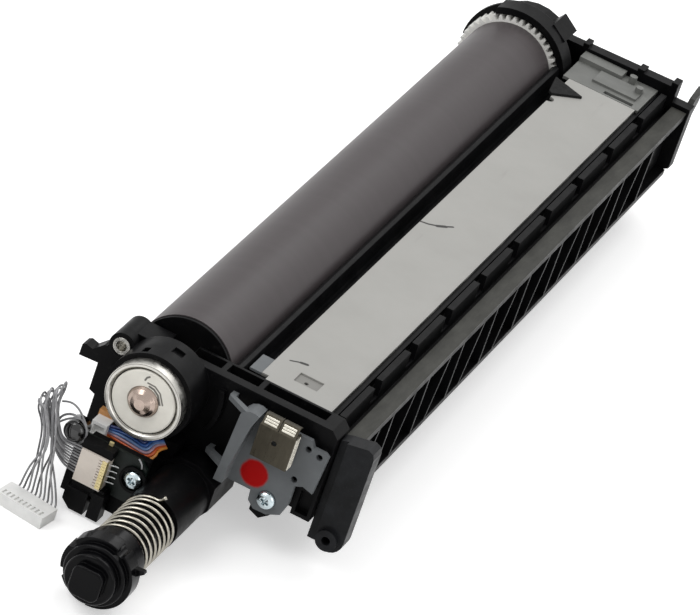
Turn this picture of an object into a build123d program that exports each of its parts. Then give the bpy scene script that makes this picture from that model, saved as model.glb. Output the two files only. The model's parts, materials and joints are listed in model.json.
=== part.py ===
"""Photoconductor and developer unit of a colour copier, in millimetres.

The drum turns about the Y axis. The origin is on the drum axis, in the front face of the
front bearing. +Y runs to the rear of the unit, +X from the drum to the developer, +Z is up.
"""

from build123d import *
from math import acos, asin, atan2, cos, degrees, hypot, pi, radians, sin, sqrt, tan
import os

# Running and seating clearances
shaft_clearance = 0.05
seat_gap = 0.3
roller_gap = 0.35

# Drum
drum_radius = 20.0
drum_wall = 1.2
drum_front_y = 38.2
drum_length = 337.8
drum_shaft_radius = 6.4
drum_shaft_proud = 3.4
dome_depth = 4.4
spigot_length = 12.0
rear_bush_wall = 2.8

# Steel bush at the left of the front frame
bush_x = -19.1
bush_z = 7.8
bush_radius = 3.5
bush_wall = 1.3
bush_front_y = 16.0

# Front bearing
bearing_radius = 15.6
bearing_seat_radius = 14.8
bearing_proud = 5.3
bearing_width = 9.0
bearing_race_wall = 2.2
bearing_ball_radius = 1.7
boss_wall = 2.0
bearing_ball_count = 12
end_disc_radius = 12.9
end_disc_thickness = 1.6

# Length of the frames along the drum axis
front_face_y = 22.0
front_rear_y = 34.0
rear_room = 22.0
rear_frame_thickness = 6.0

# Levels and sides of the unit
floor_z = -49.0
ridge_top_z = 12.5
plate_top_z = 10.0
case_bottom_z = -25.0
left_x = -27.0
right_x = 70.0

# Gears, all of one module
gear_module = 1.0
gear_pressure_angle = 20.0
gear_backlash = 0.16
gear_addendum = 0.95
gear_dedendum = 1.25
drum_gear_teeth = 44
drum_gear_width = 7.0
waste_gear_teeth = 18
roller_gear_teeth = 24
collect_gear_teeth = 20
mixing_gear_teeth = 20
supply_gear_teeth = 28
gear_width = 6.0
gear_plane_gap = 0.8

# Developer roller and augers
roller_radius = 9.0
auger_radius = 8.3
auger_shaft_radius = 3.0
auger_pitch = 21.0
auger_blade = 1.6
auger_tilt = 24.0
chamber_gap = 0.6
collect_x = 22.4
collect_z = -33.9
trough_front_y = 60.0

# Charging and cleaning
charge_radius = 6.0
charge_shaft_radius = 2.5
charge_angle = -95.0
waste_angle = -130.0
waste_radius = 4.8
blade_thickness = 1.6
blade_lift = 1.0
case_top_z = -12.2
nest_gap = 1.5
holder_thickness = 1.2

# Cover plate
plate_left_x = 29.0
plate_right_x = 60.3
plate_front_y = 36.5
plate_rear_room = 26.0
plate_thickness = 1.4

# Hood over the drum gear
hood_gap = 0.35
hood_wall = 3.0
hood_neck_step = 4.3
hood_neck_wall = 4.0
hood_start = 0.6
hood_length = 9.8
hood_first_angle = 117.0

# Right side of the developer case
rail_left_x = 69.5
rail_right_x = 76.4
rail_top_z = 6.0
rail_thickness = 3.0
web_thickness = 2.2
rib_pitch = 36.5
rib_thickness = 1.4
rib_lean = 9.0
tab_left_x = 64.2
tab_width = 2.7
tab_height = 7.0
tab_length = 29.0

# Toner inlet
inlet_radius = 11.7
inlet_bore_radius = 8.8
inlet_front_y = -19.0
pipe_radius = 8.4
pipe_bore_radius = 6.8
spring_radius = 10.9
spring_wire_radius = 0.7
spring_turns = 8
cap_radius = 14.4
cap_front_y = -66.0
cap_flange = 7.0
cap_sleeve_radius = 12.2
cap_sleeve_rear_y = -50.0
cap_wall = 2.2
rim_radius = 12.4
rim_length = 2.8
knob_radius = 10.2
knob_length = 4.0
button_width = 12.4
button_length = 3.4
button_height = 12.8
shutter_travel = 16.0

# Board and connectors at the front left
board_y = -8.0
board_thickness = 1.6
header_left_x = -12.5
header_right_x = -1.2
header_top_z = -21.3
header_bottom_z = -35.3
header_depth = 6.0
wire_count = 10
wire_pitch = 1.25
wire_radius = 0.4
ribbon_wires = 6
ribbon_block_y = 12.4
ribbon_wire_radius = 0.45
plug_width = 21.5
plug_depth = 10.5
plug_height = 5.0
plug_x = -22.5
plug_y = -27.5
plug_turn = -8.0
plug_wire_pitch = 1.9
clip_x = -18.6
clip_z = -18.6
clip_radius = 4.3
tie_slack = 1.8
tie_radius = 0.45

# Bracket, terminal box and arm at the front right
bracket_y = 18.0
bracket_thickness = 2.0
flange_front_y = 12.0
sheet_thickness = 0.8
arm_left_x = 70.3
arm_width = 14.8
arm_top_z = 9.0
arm_front_y = 24.0
arm_rear_y = 32.0
arm_boss_radius = 6.0
arm_boss_x = 79.1
arm_boss_z = -31.5
screw_head_radius = 3.4
screw_head_height = 2.2
screw_shank_radius = 1.45
screw_length = 7.0

drum_rear_y = drum_front_y + drum_length
rear_face_y = drum_rear_y + rear_room
plate_rear_y = rear_face_y - plate_rear_room
drum_gear_tip = gear_module * (drum_gear_teeth / 2 + gear_addendum)
hood_radius = drum_gear_tip + hood_gap + hood_wall
hood_front_y = drum_rear_y + hood_start
hood_rear_y = hood_front_y + hood_length
shaft_front_y = front_face_y + 3.5
roller_front_y = drum_front_y + 4.0
roller_rear_y = drum_rear_y - 5.0
roller_distance = drum_radius + roller_radius + roller_gap
collect_pitch = gear_module * (roller_gear_teeth + collect_gear_teeth) / 2
mixing_x = collect_x + gear_module * (collect_gear_teeth + mixing_gear_teeth) / 2
mixing_z = collect_z
supply_offset_x = 4.0
supply_pitch = gear_module * (mixing_gear_teeth + supply_gear_teeth) / 2
supply_x = mixing_x + supply_offset_x
supply_z = mixing_z + sqrt(supply_pitch**2 - supply_offset_x**2)
charge_distance = drum_radius + charge_radius + seat_gap
charge_x = charge_distance * cos(radians(charge_angle))
charge_z = charge_distance * sin(radians(charge_angle))
waste_distance = gear_module * (drum_gear_teeth + waste_gear_teeth) / 2
waste_x = waste_distance * cos(radians(waste_angle))
waste_z = waste_distance * sin(radians(waste_angle))
rear_outer_y = rear_face_y + rear_frame_thickness
gear_near_y = rear_outer_y + gear_plane_gap
gear_far_y = gear_near_y + gear_width + gear_plane_gap
bore_radius = auger_shaft_radius + shaft_clearance


def roller_centre():
    """Centre of the developer roller: in mesh with the collecting auger, off the drum."""
    span = hypot(collect_x, collect_z)
    along = (roller_distance**2 - collect_pitch**2 + span**2) / (2 * span)
    across = sqrt(roller_distance**2 - along**2)
    unit_x = collect_x / span
    unit_z = collect_z / span
    return along * unit_x - across * unit_z, along * unit_z + across * unit_x


roller_x, roller_z = roller_centre()


def block(x0, x1, y0, y1, z0, z1):
    """A box between its low and high sides."""
    place = Pos((x0 + x1) / 2, (y0 + y1) / 2, (z0 + z1) / 2)
    return place * Box(x1 - x0, y1 - y0, z1 - z0)


def rod(x, z, radius, y0, y1):
    """A cylinder along Y."""
    body = Cylinder(radius, y1 - y0, align=(Align.CENTER, Align.CENTER, Align.MIN))
    return Pos(x, y0, z) * Rot(-90, 0, 0) * body


def soft_rod(x, z, radius, y0, y1, rounding):
    """A cylinder along Y with its near edge rounded."""
    body = rod(x, z, radius, y0, y1)
    return fillet(body.edges().group_by(Axis.Y)[0], rounding)


def ring(x, z, outer, inner, y0, y1):
    """A tube along Y."""
    return rod(x, z, outer, y0, y1) - rod(x, z, inner, y0 - 1, y1 + 1)


def prism(points, y0, y1):
    """A profile of (x, z) points, drawn out along Y."""
    wire = Wire.make_polygon([Vector(x, y0, z) for x, z in points])
    return Solid.extrude(Face(wire), Vector(0, y1 - y0, 0))


def side_prism(points, x0, x1):
    """A profile of (y, z) points, drawn out along X."""
    wire = Wire.make_polygon([Vector(x0, y, z) for y, z in points])
    return Solid.extrude(Face(wire), Vector(x1 - x0, 0, 0))


def slab(points, z0, z1):
    """A profile of (x, y) points, drawn out along Z."""
    wire = Wire.make_polygon([Vector(x, y, z0) for x, y in points])
    return Solid.extrude(Face(wire), Vector(0, 0, z1 - z0))


def arc_points(radius, start, stop, count, x=0.0, z=0.0):
    """Points on an arc about (x, z), from one angle to another, in degrees."""
    step = (stop - start) / (count - 1)
    angles = [radians(start + step * i) for i in range(count)]
    return [(x + radius * cos(a), z + radius * sin(a)) for a in angles]


def spun(points):
    """A profile of (radius, y) points, turned about the drum axis."""
    wire = Wire.make_polygon([Vector(r, y, 0) for r, y in points])
    return Solid.revolve(Face(wire), 360, Axis.Y)


def tooth_half_angle(teeth, radius):
    """Half of the angle that a tooth takes up at a radius, on an involute flank."""
    pitch_radius = gear_module * teeth / 2
    base_radius = pitch_radius * cos(radians(gear_pressure_angle))
    roll = acos(min(1.0, base_radius / max(radius, base_radius)))
    pressure = radians(gear_pressure_angle)
    half_pitch = (pi * gear_module / 2 - gear_backlash) / (2 * pitch_radius)
    return half_pitch + (tan(pressure) - pressure) - (tan(roll) - roll)


def gear(teeth, x, z, y0, y1, phase):
    """A spur gear with a tooth centred on the phase angle."""
    pitch_radius = gear_module * teeth / 2
    root_radius = pitch_radius - gear_dedendum * gear_module
    tip_radius = pitch_radius + gear_addendum * gear_module
    radii = [root_radius, pitch_radius, tip_radius]
    points = []
    for tooth in range(teeth):
        middle = phase + 2 * pi * tooth / teeth
        flank = [(r, tooth_half_angle(teeth, r)) for r in radii]
        polar = [(r, middle - half) for r, half in flank]
        polar += [(r, middle + half) for r, half in reversed(flank)]
        points += [(x + r * cos(a), z + r * sin(a)) for r, a in polar]
    return prism(points, y0, y1)


def mesh_phase(phase, teeth, x, z, next_teeth, next_x, next_z):
    """The phase that puts the next gear's teeth in the gaps of this one."""
    line = atan2(next_z - z, next_x - x)
    share = (phase - line) * teeth / (2 * pi)
    return line + pi - (share + 0.5) * 2 * pi / next_teeth


drum_phase = radians(90)
waste_phase = mesh_phase(drum_phase, drum_gear_teeth, 0, 0, waste_gear_teeth, waste_x, waste_z)
roller_phase = radians(0)
collect_phase = mesh_phase(
    roller_phase, roller_gear_teeth, roller_x, roller_z, collect_gear_teeth, collect_x, collect_z
)
mixing_phase = mesh_phase(
    collect_phase, collect_gear_teeth, collect_x, collect_z, mixing_gear_teeth, mixing_x, mixing_z
)
supply_phase = mesh_phase(
    mixing_phase, mixing_gear_teeth, mixing_x, mixing_z, supply_gear_teeth, supply_x, supply_z
)


# Drum

def drum_tube():
    return ring(0, 0, drum_radius, drum_radius - drum_wall, drum_front_y, drum_rear_y)


def drum_front_flange():
    inner = drum_radius - drum_wall
    face_y = drum_front_y - 1.8
    hub_rear_y = drum_front_y + spigot_length
    return spun([
        (drum_shaft_radius, face_y),
        (drum_radius - 0.4, face_y),
        (drum_radius - 0.4, drum_front_y),
        (inner, drum_front_y),
        (inner, hub_rear_y),
        (inner - 2.0, hub_rear_y),
        (inner - 2.0, drum_front_y + 1.5),
        (drum_shaft_radius + 3.0, drum_front_y + 1.5),
        (drum_shaft_radius + 3.0, hub_rear_y),
        (drum_shaft_radius, hub_rear_y),
    ])


def drum_gear():
    inner = drum_radius - drum_wall
    gear_rear_y = drum_rear_y + drum_gear_width
    teeth = gear(drum_gear_teeth, 0, 0, drum_rear_y, gear_rear_y, drum_phase)
    teeth -= rod(0, 0, drum_radius - 3.0, drum_rear_y + 3.0, gear_rear_y + 1)
    hub = ring(0, 0, drum_shaft_radius + 3.0, drum_shaft_radius, drum_rear_y - spigot_length, gear_rear_y)
    spigot = ring(0, 0, inner, inner - 2.2, drum_rear_y - spigot_length, drum_rear_y + 0.5)
    whole = teeth - rod(0, 0, drum_shaft_radius, drum_rear_y - 1, gear_rear_y + 1)
    return whole + hub + spigot


def drum_shaft():
    """The shaft, its front end a low dome."""
    dome_y = -drum_shaft_proud
    rear_y = gear_far_y + gear_width
    steps = [(0, dome_y)]
    for angle in (20, 40, 60, 78):
        a = radians(angle)
        steps.append((drum_shaft_radius * sin(a), dome_y + dome_depth * (1 - cos(a))))
    steps += [
        (drum_shaft_radius, dome_y + dome_depth),
        (drum_shaft_radius, rear_y - 1),
        (drum_shaft_radius - 1, rear_y),
        (0, rear_y),
    ]
    return spun(steps)


def shaft_coupling():
    y0 = gear_near_y
    y1 = gear_far_y + gear_width - 1.5
    body = ring(0, 0, 11.0, drum_shaft_radius, y0, y1)
    for turn in range(3):
        claw = block(6.5, 12.0, y1 - 4.0, y1 + 0.5, -3.0, 3.0)
        body -= Rot(0, 120 * turn + 30, 0) * claw
    return body


# Front bearing

def bearing_outer_race():
    inner = bearing_radius - bearing_race_wall
    return spun([
        (inner, 0.9),
        (inner + 0.8, 0.0),
        (bearing_radius, 0.0),
        (bearing_radius, bearing_proud),
        (bearing_seat_radius, bearing_proud),
        (bearing_seat_radius, bearing_width),
        (inner, bearing_width),
    ])


def bearing_inner_race():
    inner = bearing_radius - bearing_race_wall - 2 * bearing_ball_radius - 2 * shaft_clearance
    return ring(0, 0, inner, drum_shaft_radius, end_disc_thickness, bearing_width)


def bearing_balls():
    track = bearing_radius - bearing_race_wall - bearing_ball_radius - shaft_clearance
    middle_y = (end_disc_thickness + bearing_width) / 2 + 0.4
    balls = []
    for index in range(bearing_ball_count):
        angle = 2 * pi * index / bearing_ball_count
        balls.append(Pos(track * cos(angle), middle_y, track * sin(angle)) * Sphere(bearing_ball_radius))
    return Compound(children=balls)


def end_disc():
    face_y = 0.2
    return spun([
        (drum_shaft_radius, face_y),
        (end_disc_radius - 0.5, face_y),
        (end_disc_radius, face_y + 0.5),
        (end_disc_radius, end_disc_thickness),
        (drum_shaft_radius, end_disc_thickness),
    ])


# Front frame

def front_outline():
    """Outline of the front frame, clockwise from its rounded left shoulder."""
    shoulder = arc_points(7.0, 170, 90, 5, -17.0, 5.4)
    return [(left_x - 0.6, -0.6), (-26.0, 2.0)] + shoulder + [
        (right_x - 3.0, ridge_top_z),
        (right_x, ridge_top_z - 3.0),
        (right_x, -28.0),
        (62.0, -28.0),
        (62.0, -24.6),
        (34.8, -24.6),
        (34.8, -36.5),
        (30.5, -43.0),
        (12.0, floor_z),
        (-25.0, floor_z),
        (-25.0, -20.0),
        (left_x - 0.6, -19.0),
    ]


def front_frame():
    body = prism(front_outline(), front_face_y, front_rear_y)
    # open rear of the moulding, behind a front wall
    body -= prism(
        [(-20, -24), (-20, -44), (8, -44), (8, -28)],
        front_face_y + 3.0, front_rear_y + 1,
    )
    body -= block(36.0, 62.0, front_face_y + 3.0, front_rear_y + 1, -21.5, supply_z - 6.0)
    # long pockets between the two walls of the ridge
    pocket_y0 = front_face_y + 4.5
    pocket_y1 = front_rear_y - 1.3
    for x0, x1 in ((-3.0, 3.0), (5.4, 17.4), (19.6, 33.2), (35.4, 62.0)):
        body -= block(x0, x1, pocket_y0, pocket_y1, ridge_top_z - 5.0, ridge_top_z + 1)
    # bearing boss, with a curved rib to its right
    body += rod(0, 0, bearing_radius + boss_wall, bearing_proud, front_face_y)
    for angle, y, width, length in boss_slots:
        y0 = y - length / 2
        slot = block(-width / 2, width / 2, y0, y0 + length, bearing_radius + 0.6, bearing_radius + 4)
        body -= Rot(0, 90 - angle, 0) * slot
    rib = ring(0, 0, 24.6, 22.6, front_face_y - 2.4, front_face_y)
    body += rib & block(8, 30, 0, front_face_y, -11, ridge_top_z - 5)
    # bush housing and the tab at the left
    body += rod(bush_x, bush_z, bush_radius + 1.8, bush_front_y + 0.5, front_rear_y)
    tab = [
        (-35.7, -7.4), (-35.6, -2.6), (-34.2, -1.8), (-31.2, -2.6), (-27.3, 1.4), (-24.0, 1.4), (-24.0, -6.7),
    ]
    body += prism(tab, front_face_y, front_face_y + 6.0)
    body -= rod(bush_x, bush_z, bush_radius, bush_front_y, front_rear_y + 1)
    # foot behind the bracket's screw
    foot = [(46.6, -24.0), (46.6, -34.6), (51.0, -36.4), (54.6, -33.4), (57.0, -30.0), (57.0, -24.0)]
    body += prism(foot, front_face_y, front_face_y + 8.0)
    # recess in the block at the lower right corner
    body -= block(63.4, right_x - 1.4, front_face_y - 1, front_face_y + 3.0, -26.4, -16.6)
    # bearing seat and blind shaft bores
    body -= rod(0, 0, bearing_seat_radius, bearing_proud - 1, bearing_width)
    body -= rod(0, 0, bearing_radius - bearing_race_wall, bearing_width - 1, front_rear_y + 1)
    for x, z, radius in front_bores():
        body -= rod(x, z, radius, shaft_front_y - 0.5, front_rear_y + 1)
    body -= rod(collect_x, collect_z, inlet_bore_radius, front_face_y - 1, front_rear_y + 1)
    sx, sz = bracket_screw_place()
    return body - rod(sx, sz, screw_shank_radius, front_face_y - 1, bracket_y + screw_length + 0.5)


def front_bores():
    return [
        (roller_x, roller_z, bore_radius),
        (supply_x, supply_z, bore_radius),
        (charge_x, charge_z, charge_shaft_radius + shaft_clearance),
        (waste_x, waste_z, bore_radius),
    ]


def guide_bush():
    return ring(bush_x, bush_z, bush_radius, bush_radius - bush_wall, bush_front_y, front_rear_y)


boss_slots = [(115.0, 8.6, 2.6, 4.0), (80.0, 14.8, 4.6, 4.5)]

bracket_holes = [(61.6, 2.9), (66.6, 1.8), (60.2, -11.6)]


def bracket_screw_place():
    return 52.8, -25.0


# Rear frame

def rear_outline():
    round_end = arc_points(20.0, 186, 50, 10)
    return round_end + [
        (16.0, 13.4),
        (66.0, 14.6),
        (66.0, 16.6),
        (69.0, 16.6),
        (69.0, 8.0),
        (rail_right_x + 1.2, 8.0),
        (rail_right_x + 1.2, -21.5),
        (72.0, -24.6),
        (62.0, -26.0),
        (62.0, floor_z),
        (left_x + 1.0, floor_z),
        (left_x + 1.0, -16.0),
    ]


def rear_frame():
    body = prism(rear_outline(), rear_face_y, rear_outer_y)
    # hood over the drum gear, its end wall and the neck that carries it
    edge_x = hood_radius * cos(radians(hood_first_angle))
    upper = block(edge_x, 2 * hood_radius, hood_front_y - 1, rear_face_y, -3.0, 2 * hood_radius)
    body += ring(0, 0, hood_radius, hood_radius - hood_wall, hood_front_y, hood_rear_y) & upper
    neck_radius = hood_radius - hood_wall - hood_neck_step
    neck_inner = neck_radius - hood_neck_wall
    body += ring(0, 0, hood_radius, neck_inner, hood_rear_y - 2.0, hood_rear_y) & upper
    body += ring(0, 0, neck_radius, neck_inner, hood_rear_y - 2.0, rear_face_y) & upper
    pad = block(-4.4, 4.4, hood_rear_y - 3.0, rear_face_y, neck_radius - 1.0, hood_radius + 0.4)
    body += Rot(0, 36, 0) * pad
    # small stops on the top edge
    body += block(24.0, 26.6, rear_face_y, rear_outer_y, 12.0, 15.4)
    body += block(50.0, 53.0, rear_face_y, rear_outer_y, 12.0, 15.6)
    bores = front_bores() + [(0, 0, drum_shaft_radius + rear_bush_wall)]
    bores.append((collect_x, collect_z, bore_radius))
    bores.append((mixing_x, mixing_z, bore_radius))
    for x, z, radius in bores:
        body -= rod(x, z, radius, rear_face_y - 1, rear_outer_y + 1)
    return body


def rear_bush():
    outer = drum_shaft_radius + rear_bush_wall
    inner = drum_shaft_radius + shaft_clearance
    bush = ring(0, 0, outer, inner, rear_face_y, rear_outer_y)
    return bush + ring(0, 0, outer + 1.6, inner, rear_face_y - 1.5, rear_face_y)


# Developer case

def case_profile():
    """Section of the developer case, from the ridge by the drum round to its lower lip."""
    plate_seat_z = plate_top_z - plate_thickness
    trough = arc_points(7.0, 200, 262, 5, plate_left_x + 1.0, plate_seat_z + 1.2)
    web_x = rail_left_x + web_thickness
    top = [(20.0, 10.2), (21.0, 11.0), (22.6, 10.6)]
    seat = [(plate_left_x, plate_seat_z), (62.4, plate_seat_z), (62.4, 5.0)]
    side = [
        (tab_left_x + tab_width, 5.0),
        (tab_left_x + tab_width, 2.0),
        (rail_left_x, 2.0),
        (rail_left_x, rail_top_z),
        (rail_right_x, rail_top_z),
        (rail_right_x, rail_top_z - rail_thickness),
        (web_x, rail_top_z - rail_thickness),
        (web_x, case_bottom_z + 2.4),
        (rail_right_x, case_bottom_z + 2.4),
        (rail_right_x, case_bottom_z),
        (13.0, case_bottom_z),
        (13.0, -18.6),
    ]
    nest = arc_points(drum_radius + nest_gap, -55, 26, 10)
    return top + trough + seat + side + nest


def developer_case():
    y0 = front_rear_y
    body = prism(case_profile(), y0, rear_face_y)
    # roller nest, supply chamber and the passage between them
    chamber_y0 = y0 + 3.0
    chamber_y1 = rear_face_y - 3.0
    nest_radius = roller_radius + chamber_gap
    body -= rod(roller_x, roller_z, nest_radius, roller_front_y - 0.6, roller_rear_y + 0.6)
    body -= rod(supply_x, supply_z, auger_radius + chamber_gap, chamber_y0, chamber_y1)
    body -= block(roller_x, supply_x, chamber_y0 + 6, roller_rear_y, roller_z - 2.0, supply_z + 3.0)
    gap_y0 = trough_front_y + 3
    body -= block(collect_x - 3.0, collect_x + 3.0, gap_y0, roller_rear_y, case_bottom_z - 1, roller_z)
    # hollow behind the web, open below
    body -= block(62.0, rail_left_x - 1.0, chamber_y0, chamber_y1, case_bottom_z - 1, 0.5)
    for x, z in ((roller_x, roller_z), (supply_x, supply_z)):
        body -= rod(x, z, bore_radius, y0 - 1, rear_face_y + 1)
    # seat of the doctor blade, and room for the drum gear and its hood
    body -= doctor_blade()
    body -= rod(0, 0, hood_radius + seat_gap, drum_rear_y - 0.8, rear_face_y + 1)
    # raised tabs along the right of the cover plate
    tab_y = y0 + 1.5
    while tab_y + tab_length < rear_face_y:
        tab_right_x = tab_left_x + tab_width
        body += block(tab_left_x, tab_right_x, tab_y, tab_y + tab_length, 4.0, 5.0 + tab_height)
        tab_y += rib_pitch
    # upright and leaning ribs of the side
    web_x = rail_left_x + web_thickness
    top_z = rail_top_z - rail_thickness
    low_z = case_bottom_z + 2.4
    rib_y = y0 + 12.0
    while rib_y + rib_pitch < rear_face_y:
        head_y = rib_y + rib_lean
        lean = [
            (rib_y, low_z),
            (rib_y + rib_thickness, low_z),
            (head_y, top_z),
            (head_y - rib_thickness, top_z),
        ]
        body += side_prism(lean, web_x, rail_right_x)
        upright_y = rib_y + rib_pitch * 0.6
        body += block(web_x, rail_right_x, upright_y, upright_y + rib_thickness, low_z, top_z)
        rib_y += rib_pitch
    return body


def rail_tip():
    """The rail's pointed end beyond the rear frame."""
    y0 = rear_outer_y
    top = [(y0, rail_top_z), (y0 + 3.0, 9.0), (y0 + 12.0, 11.5)]
    low = [(y0 + 10.0, 5.0), (y0 + 4.0, -2.0), (y0, -6.0)]
    return side_prism(top + low, rail_right_x - 2.6, rail_right_x)


def auger_trough():
    body = block(13.0, 62.0, trough_front_y, rear_face_y, floor_z, case_bottom_z)
    y0 = trough_front_y + 3.0
    y1 = rear_face_y - 3.0
    chamber = auger_radius + chamber_gap
    body -= rod(collect_x, collect_z, chamber, y0, y1)
    body -= rod(mixing_x, mixing_z, chamber, y0, y1)
    body -= block(collect_x - 3.0, collect_x + 3.0, y0, y1, collect_z, case_bottom_z + 1)
    body -= block(collect_x, mixing_x, y0, y0 + 30.0, collect_z - 4.0, collect_z + 4.0)
    body -= block(collect_x, mixing_x, y1 - 30.0, y1, collect_z - 4.0, collect_z + 4.0)
    body -= rod(collect_x, collect_z, bore_radius, y1 - 1, rear_face_y + 1)
    body -= rod(collect_x, collect_z, inlet_bore_radius, trough_front_y - 1, y0 + 1)
    body -= rod(mixing_x, mixing_z, bore_radius, trough_front_y + 0.3, rear_face_y + 1)
    lower = body.edges().filter_by(Axis.Y).group_by(Axis.Z)[0]
    return fillet(lower, 4.0)


def cover_plate():
    z1 = plate_top_z
    z0 = z1 - plate_thickness
    body = block(plate_left_x, plate_right_x, plate_front_y, plate_rear_y, z0, z1)
    # notch for the front seal tab
    notch_y = plate_front_y + 5.0
    body -= block(plate_left_x - 1, plate_left_x + 2.9, plate_front_y - 1, notch_y, z0 - 1, z1 + 1)
    # shallow recess with its hole near the front
    body -= block(40.2, 50.2, 46.6, 54.2, z1 - 0.7, z1 + 1)
    hole = Pos(44.7, 49.5, z0 - 1) * Cylinder(0.9, 4, align=(Align.CENTER, Align.CENTER, Align.MIN))
    body -= hole
    # curved cut beside the rear seal
    cut = Cylinder(2.4, 4, align=(Align.CENTER, Align.CENTER, Align.MIN))
    cut = Pos(plate_left_x, plate_rear_y - 25.0, z0 - 1) * cut
    return body - cut


def front_seal_tab():
    z0 = plate_top_z - plate_thickness
    tab = block(23.8, plate_left_x + 2.7, 41.6, 54.4, z0, plate_top_z - 0.4)
    return tab - block(plate_left_x - 0.1, plate_left_x + 3, 41.4, 55, 0, plate_top_z + 1)


def rear_plate():
    """Stepped plate behind the cover plate, with its raised panel, slot and bosses."""
    z0 = plate_top_z - plate_thickness
    y0 = plate_rear_y + seat_gap
    body = block(26.0, 61.5, y0, rear_face_y, z0, plate_top_z)
    body += block(37.0, 57.5, y0 + 6.7, rear_face_y - 8.0, z0, plate_top_z + 1.0)
    body -= block(44.5, 58.0, y0 + 1.3, y0 + 3.9, z0 - 1, plate_top_z + 2)
    body += block(26.0, 46.0, rear_face_y - 7.0, rear_face_y, z0, plate_top_z + 2.2)
    for x, back in ((50.4, 4.4), (56.0, 11.6)):
        boss = Cylinder(1.7, 3.4, align=(Align.CENTER, Align.CENTER, Align.MIN))
        body += Pos(x, rear_face_y - back, plate_top_z) * boss
    return body - rod(0, 0, hood_radius + seat_gap, y0 - 1, hood_rear_y + seat_gap)


def rear_seal():
    """Foam wedge that closes the gap between the drum end and the cover plate."""
    wedge = [(24.6, 6.0), (39.6, 12.4), (28.6, 21.5), (27.0, 20.0)]
    return slab([(x, plate_rear_y - back) for x, back in wedge], plate_top_z, plate_top_z + 1.2)


# Developer roller, augers and their gears

def developer_roller():
    return ring(roller_x, roller_z, roller_radius, auger_shaft_radius, roller_front_y, roller_rear_y)


def straight_shaft(x, z, y0, y1):
    return rod(x, z, auger_shaft_radius, y0, y1)


def auger_blades(x, z, y0, y1):
    """Leaning round blades along a shaft."""
    blades = rod(x, z, auger_shaft_radius, y0, y1)
    blade_y = y0 + auger_pitch / 2
    while blade_y + auger_pitch / 2 < y1:
        disc = rod(0, 0, auger_radius * 1.6, -auger_blade / 2, auger_blade / 2)
        blades += Pos(x, blade_y, z) * Rot(auger_tilt, 0, 0) * disc & rod(x, z, auger_radius, y0, y1)
        blade_y += auger_pitch
    return blades


def supply_auger():
    blades = auger_blades(supply_x, supply_z, front_rear_y + 3.6, rear_face_y - 3.6)
    return blades + straight_shaft(supply_x, supply_z, shaft_front_y, gear_far_y + gear_width)


def collect_auger():
    blades = auger_blades(collect_x, collect_z, trough_front_y + 3.6, rear_face_y - 3.6)
    return blades + straight_shaft(collect_x, collect_z, inlet_front_y, gear_near_y + gear_width)


def mixing_auger():
    blades = auger_blades(mixing_x, mixing_z, trough_front_y + 3.6, rear_face_y - 3.6)
    return blades + straight_shaft(mixing_x, mixing_z, trough_front_y + 0.8, gear_far_y + gear_width)


def bored(body, x, z, y0, y1):
    """A gear with the hole for its shaft."""
    return body - rod(x, z, auger_shaft_radius, y0 - 1, y1 + 1)


def roller_gear():
    y1 = gear_near_y + gear_width
    body = gear(roller_gear_teeth, roller_x, roller_z, gear_near_y, y1, roller_phase)
    return bored(body, roller_x, roller_z, gear_near_y, y1)


def collect_gear():
    y1 = gear_near_y + gear_width
    body = gear(collect_gear_teeth, collect_x, collect_z, gear_near_y, y1, collect_phase)
    return bored(body, collect_x, collect_z, gear_near_y, y1)


def mixing_gear():
    y1 = gear_far_y + gear_width
    body = gear(mixing_gear_teeth, mixing_x, mixing_z, gear_near_y, y1, mixing_phase)
    return bored(body, mixing_x, mixing_z, gear_near_y, y1)


def supply_gear():
    y1 = gear_far_y + gear_width
    body = gear(supply_gear_teeth, supply_x, supply_z, gear_far_y, y1, supply_phase)
    return bored(body, supply_x, supply_z, gear_far_y, y1)


def doctor_blade():
    """Metal strip that levels the developer, just off the roller."""
    tip_x = roller_x + 3.0
    tip_z = roller_z + roller_radius + chamber_gap
    return block(tip_x, tip_x + 1.5, roller_front_y + 2, roller_rear_y - 2, tip_z - 0.6, tip_z + 4.0)


# Charging and cleaning

def cleaning_profile():
    nest_radius = drum_radius + nest_gap
    last = -180 + degrees(asin(-case_top_z / nest_radius))
    nest = arc_points(nest_radius, -70, last, 9)
    foot = [(left_x + 1.0, floor_z), (8.0, floor_z), (8.0, -1.05 * drum_radius)]
    return foot + nest + [(left_x + 1.0, case_top_z)]


def cleaning_case():
    body = prism(cleaning_profile(), front_rear_y, rear_face_y)
    inner_y0 = front_rear_y + 3.0
    inner_y1 = rear_face_y - 3.0
    body -= rod(charge_x, charge_z, charge_radius + chamber_gap, inner_y0, inner_y1)
    body -= block(charge_x - 3.0, charge_x + 3.0, inner_y0, inner_y1, charge_z, charge_z + 8.0)
    body -= rod(waste_x, waste_z, waste_radius + chamber_gap, inner_y0, inner_y1)
    body -= rod(waste_x, waste_z, bore_radius, front_rear_y - 1, rear_face_y + 1)
    charge_bore = charge_shaft_radius + shaft_clearance
    body -= rod(charge_x, charge_z, charge_bore, front_rear_y - 1, rear_face_y + 1)
    # hollow underside, closed by the unit's base ribs
    body -= block(-22.0, 4.0, inner_y0, inner_y1, floor_z - 1, -38.0)
    # room for the drum gear and the auger gear
    body -= rod(0, 0, drum_radius + 4.5, drum_rear_y - 1.0, inner_y1)
    body -= rod(waste_x, waste_z, gear_module * (waste_gear_teeth / 2 + 2), drum_rear_y - 1.0, inner_y1)
    return body


def cleaning_blade():
    z0 = case_top_z + blade_lift
    tip_x = -sqrt((drum_radius + seat_gap) ** 2 - (z0 + blade_thickness) ** 2)
    return block(left_x + 3.0, tip_x, front_rear_y + 6, drum_rear_y - 4, z0, z0 + blade_thickness)


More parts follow.
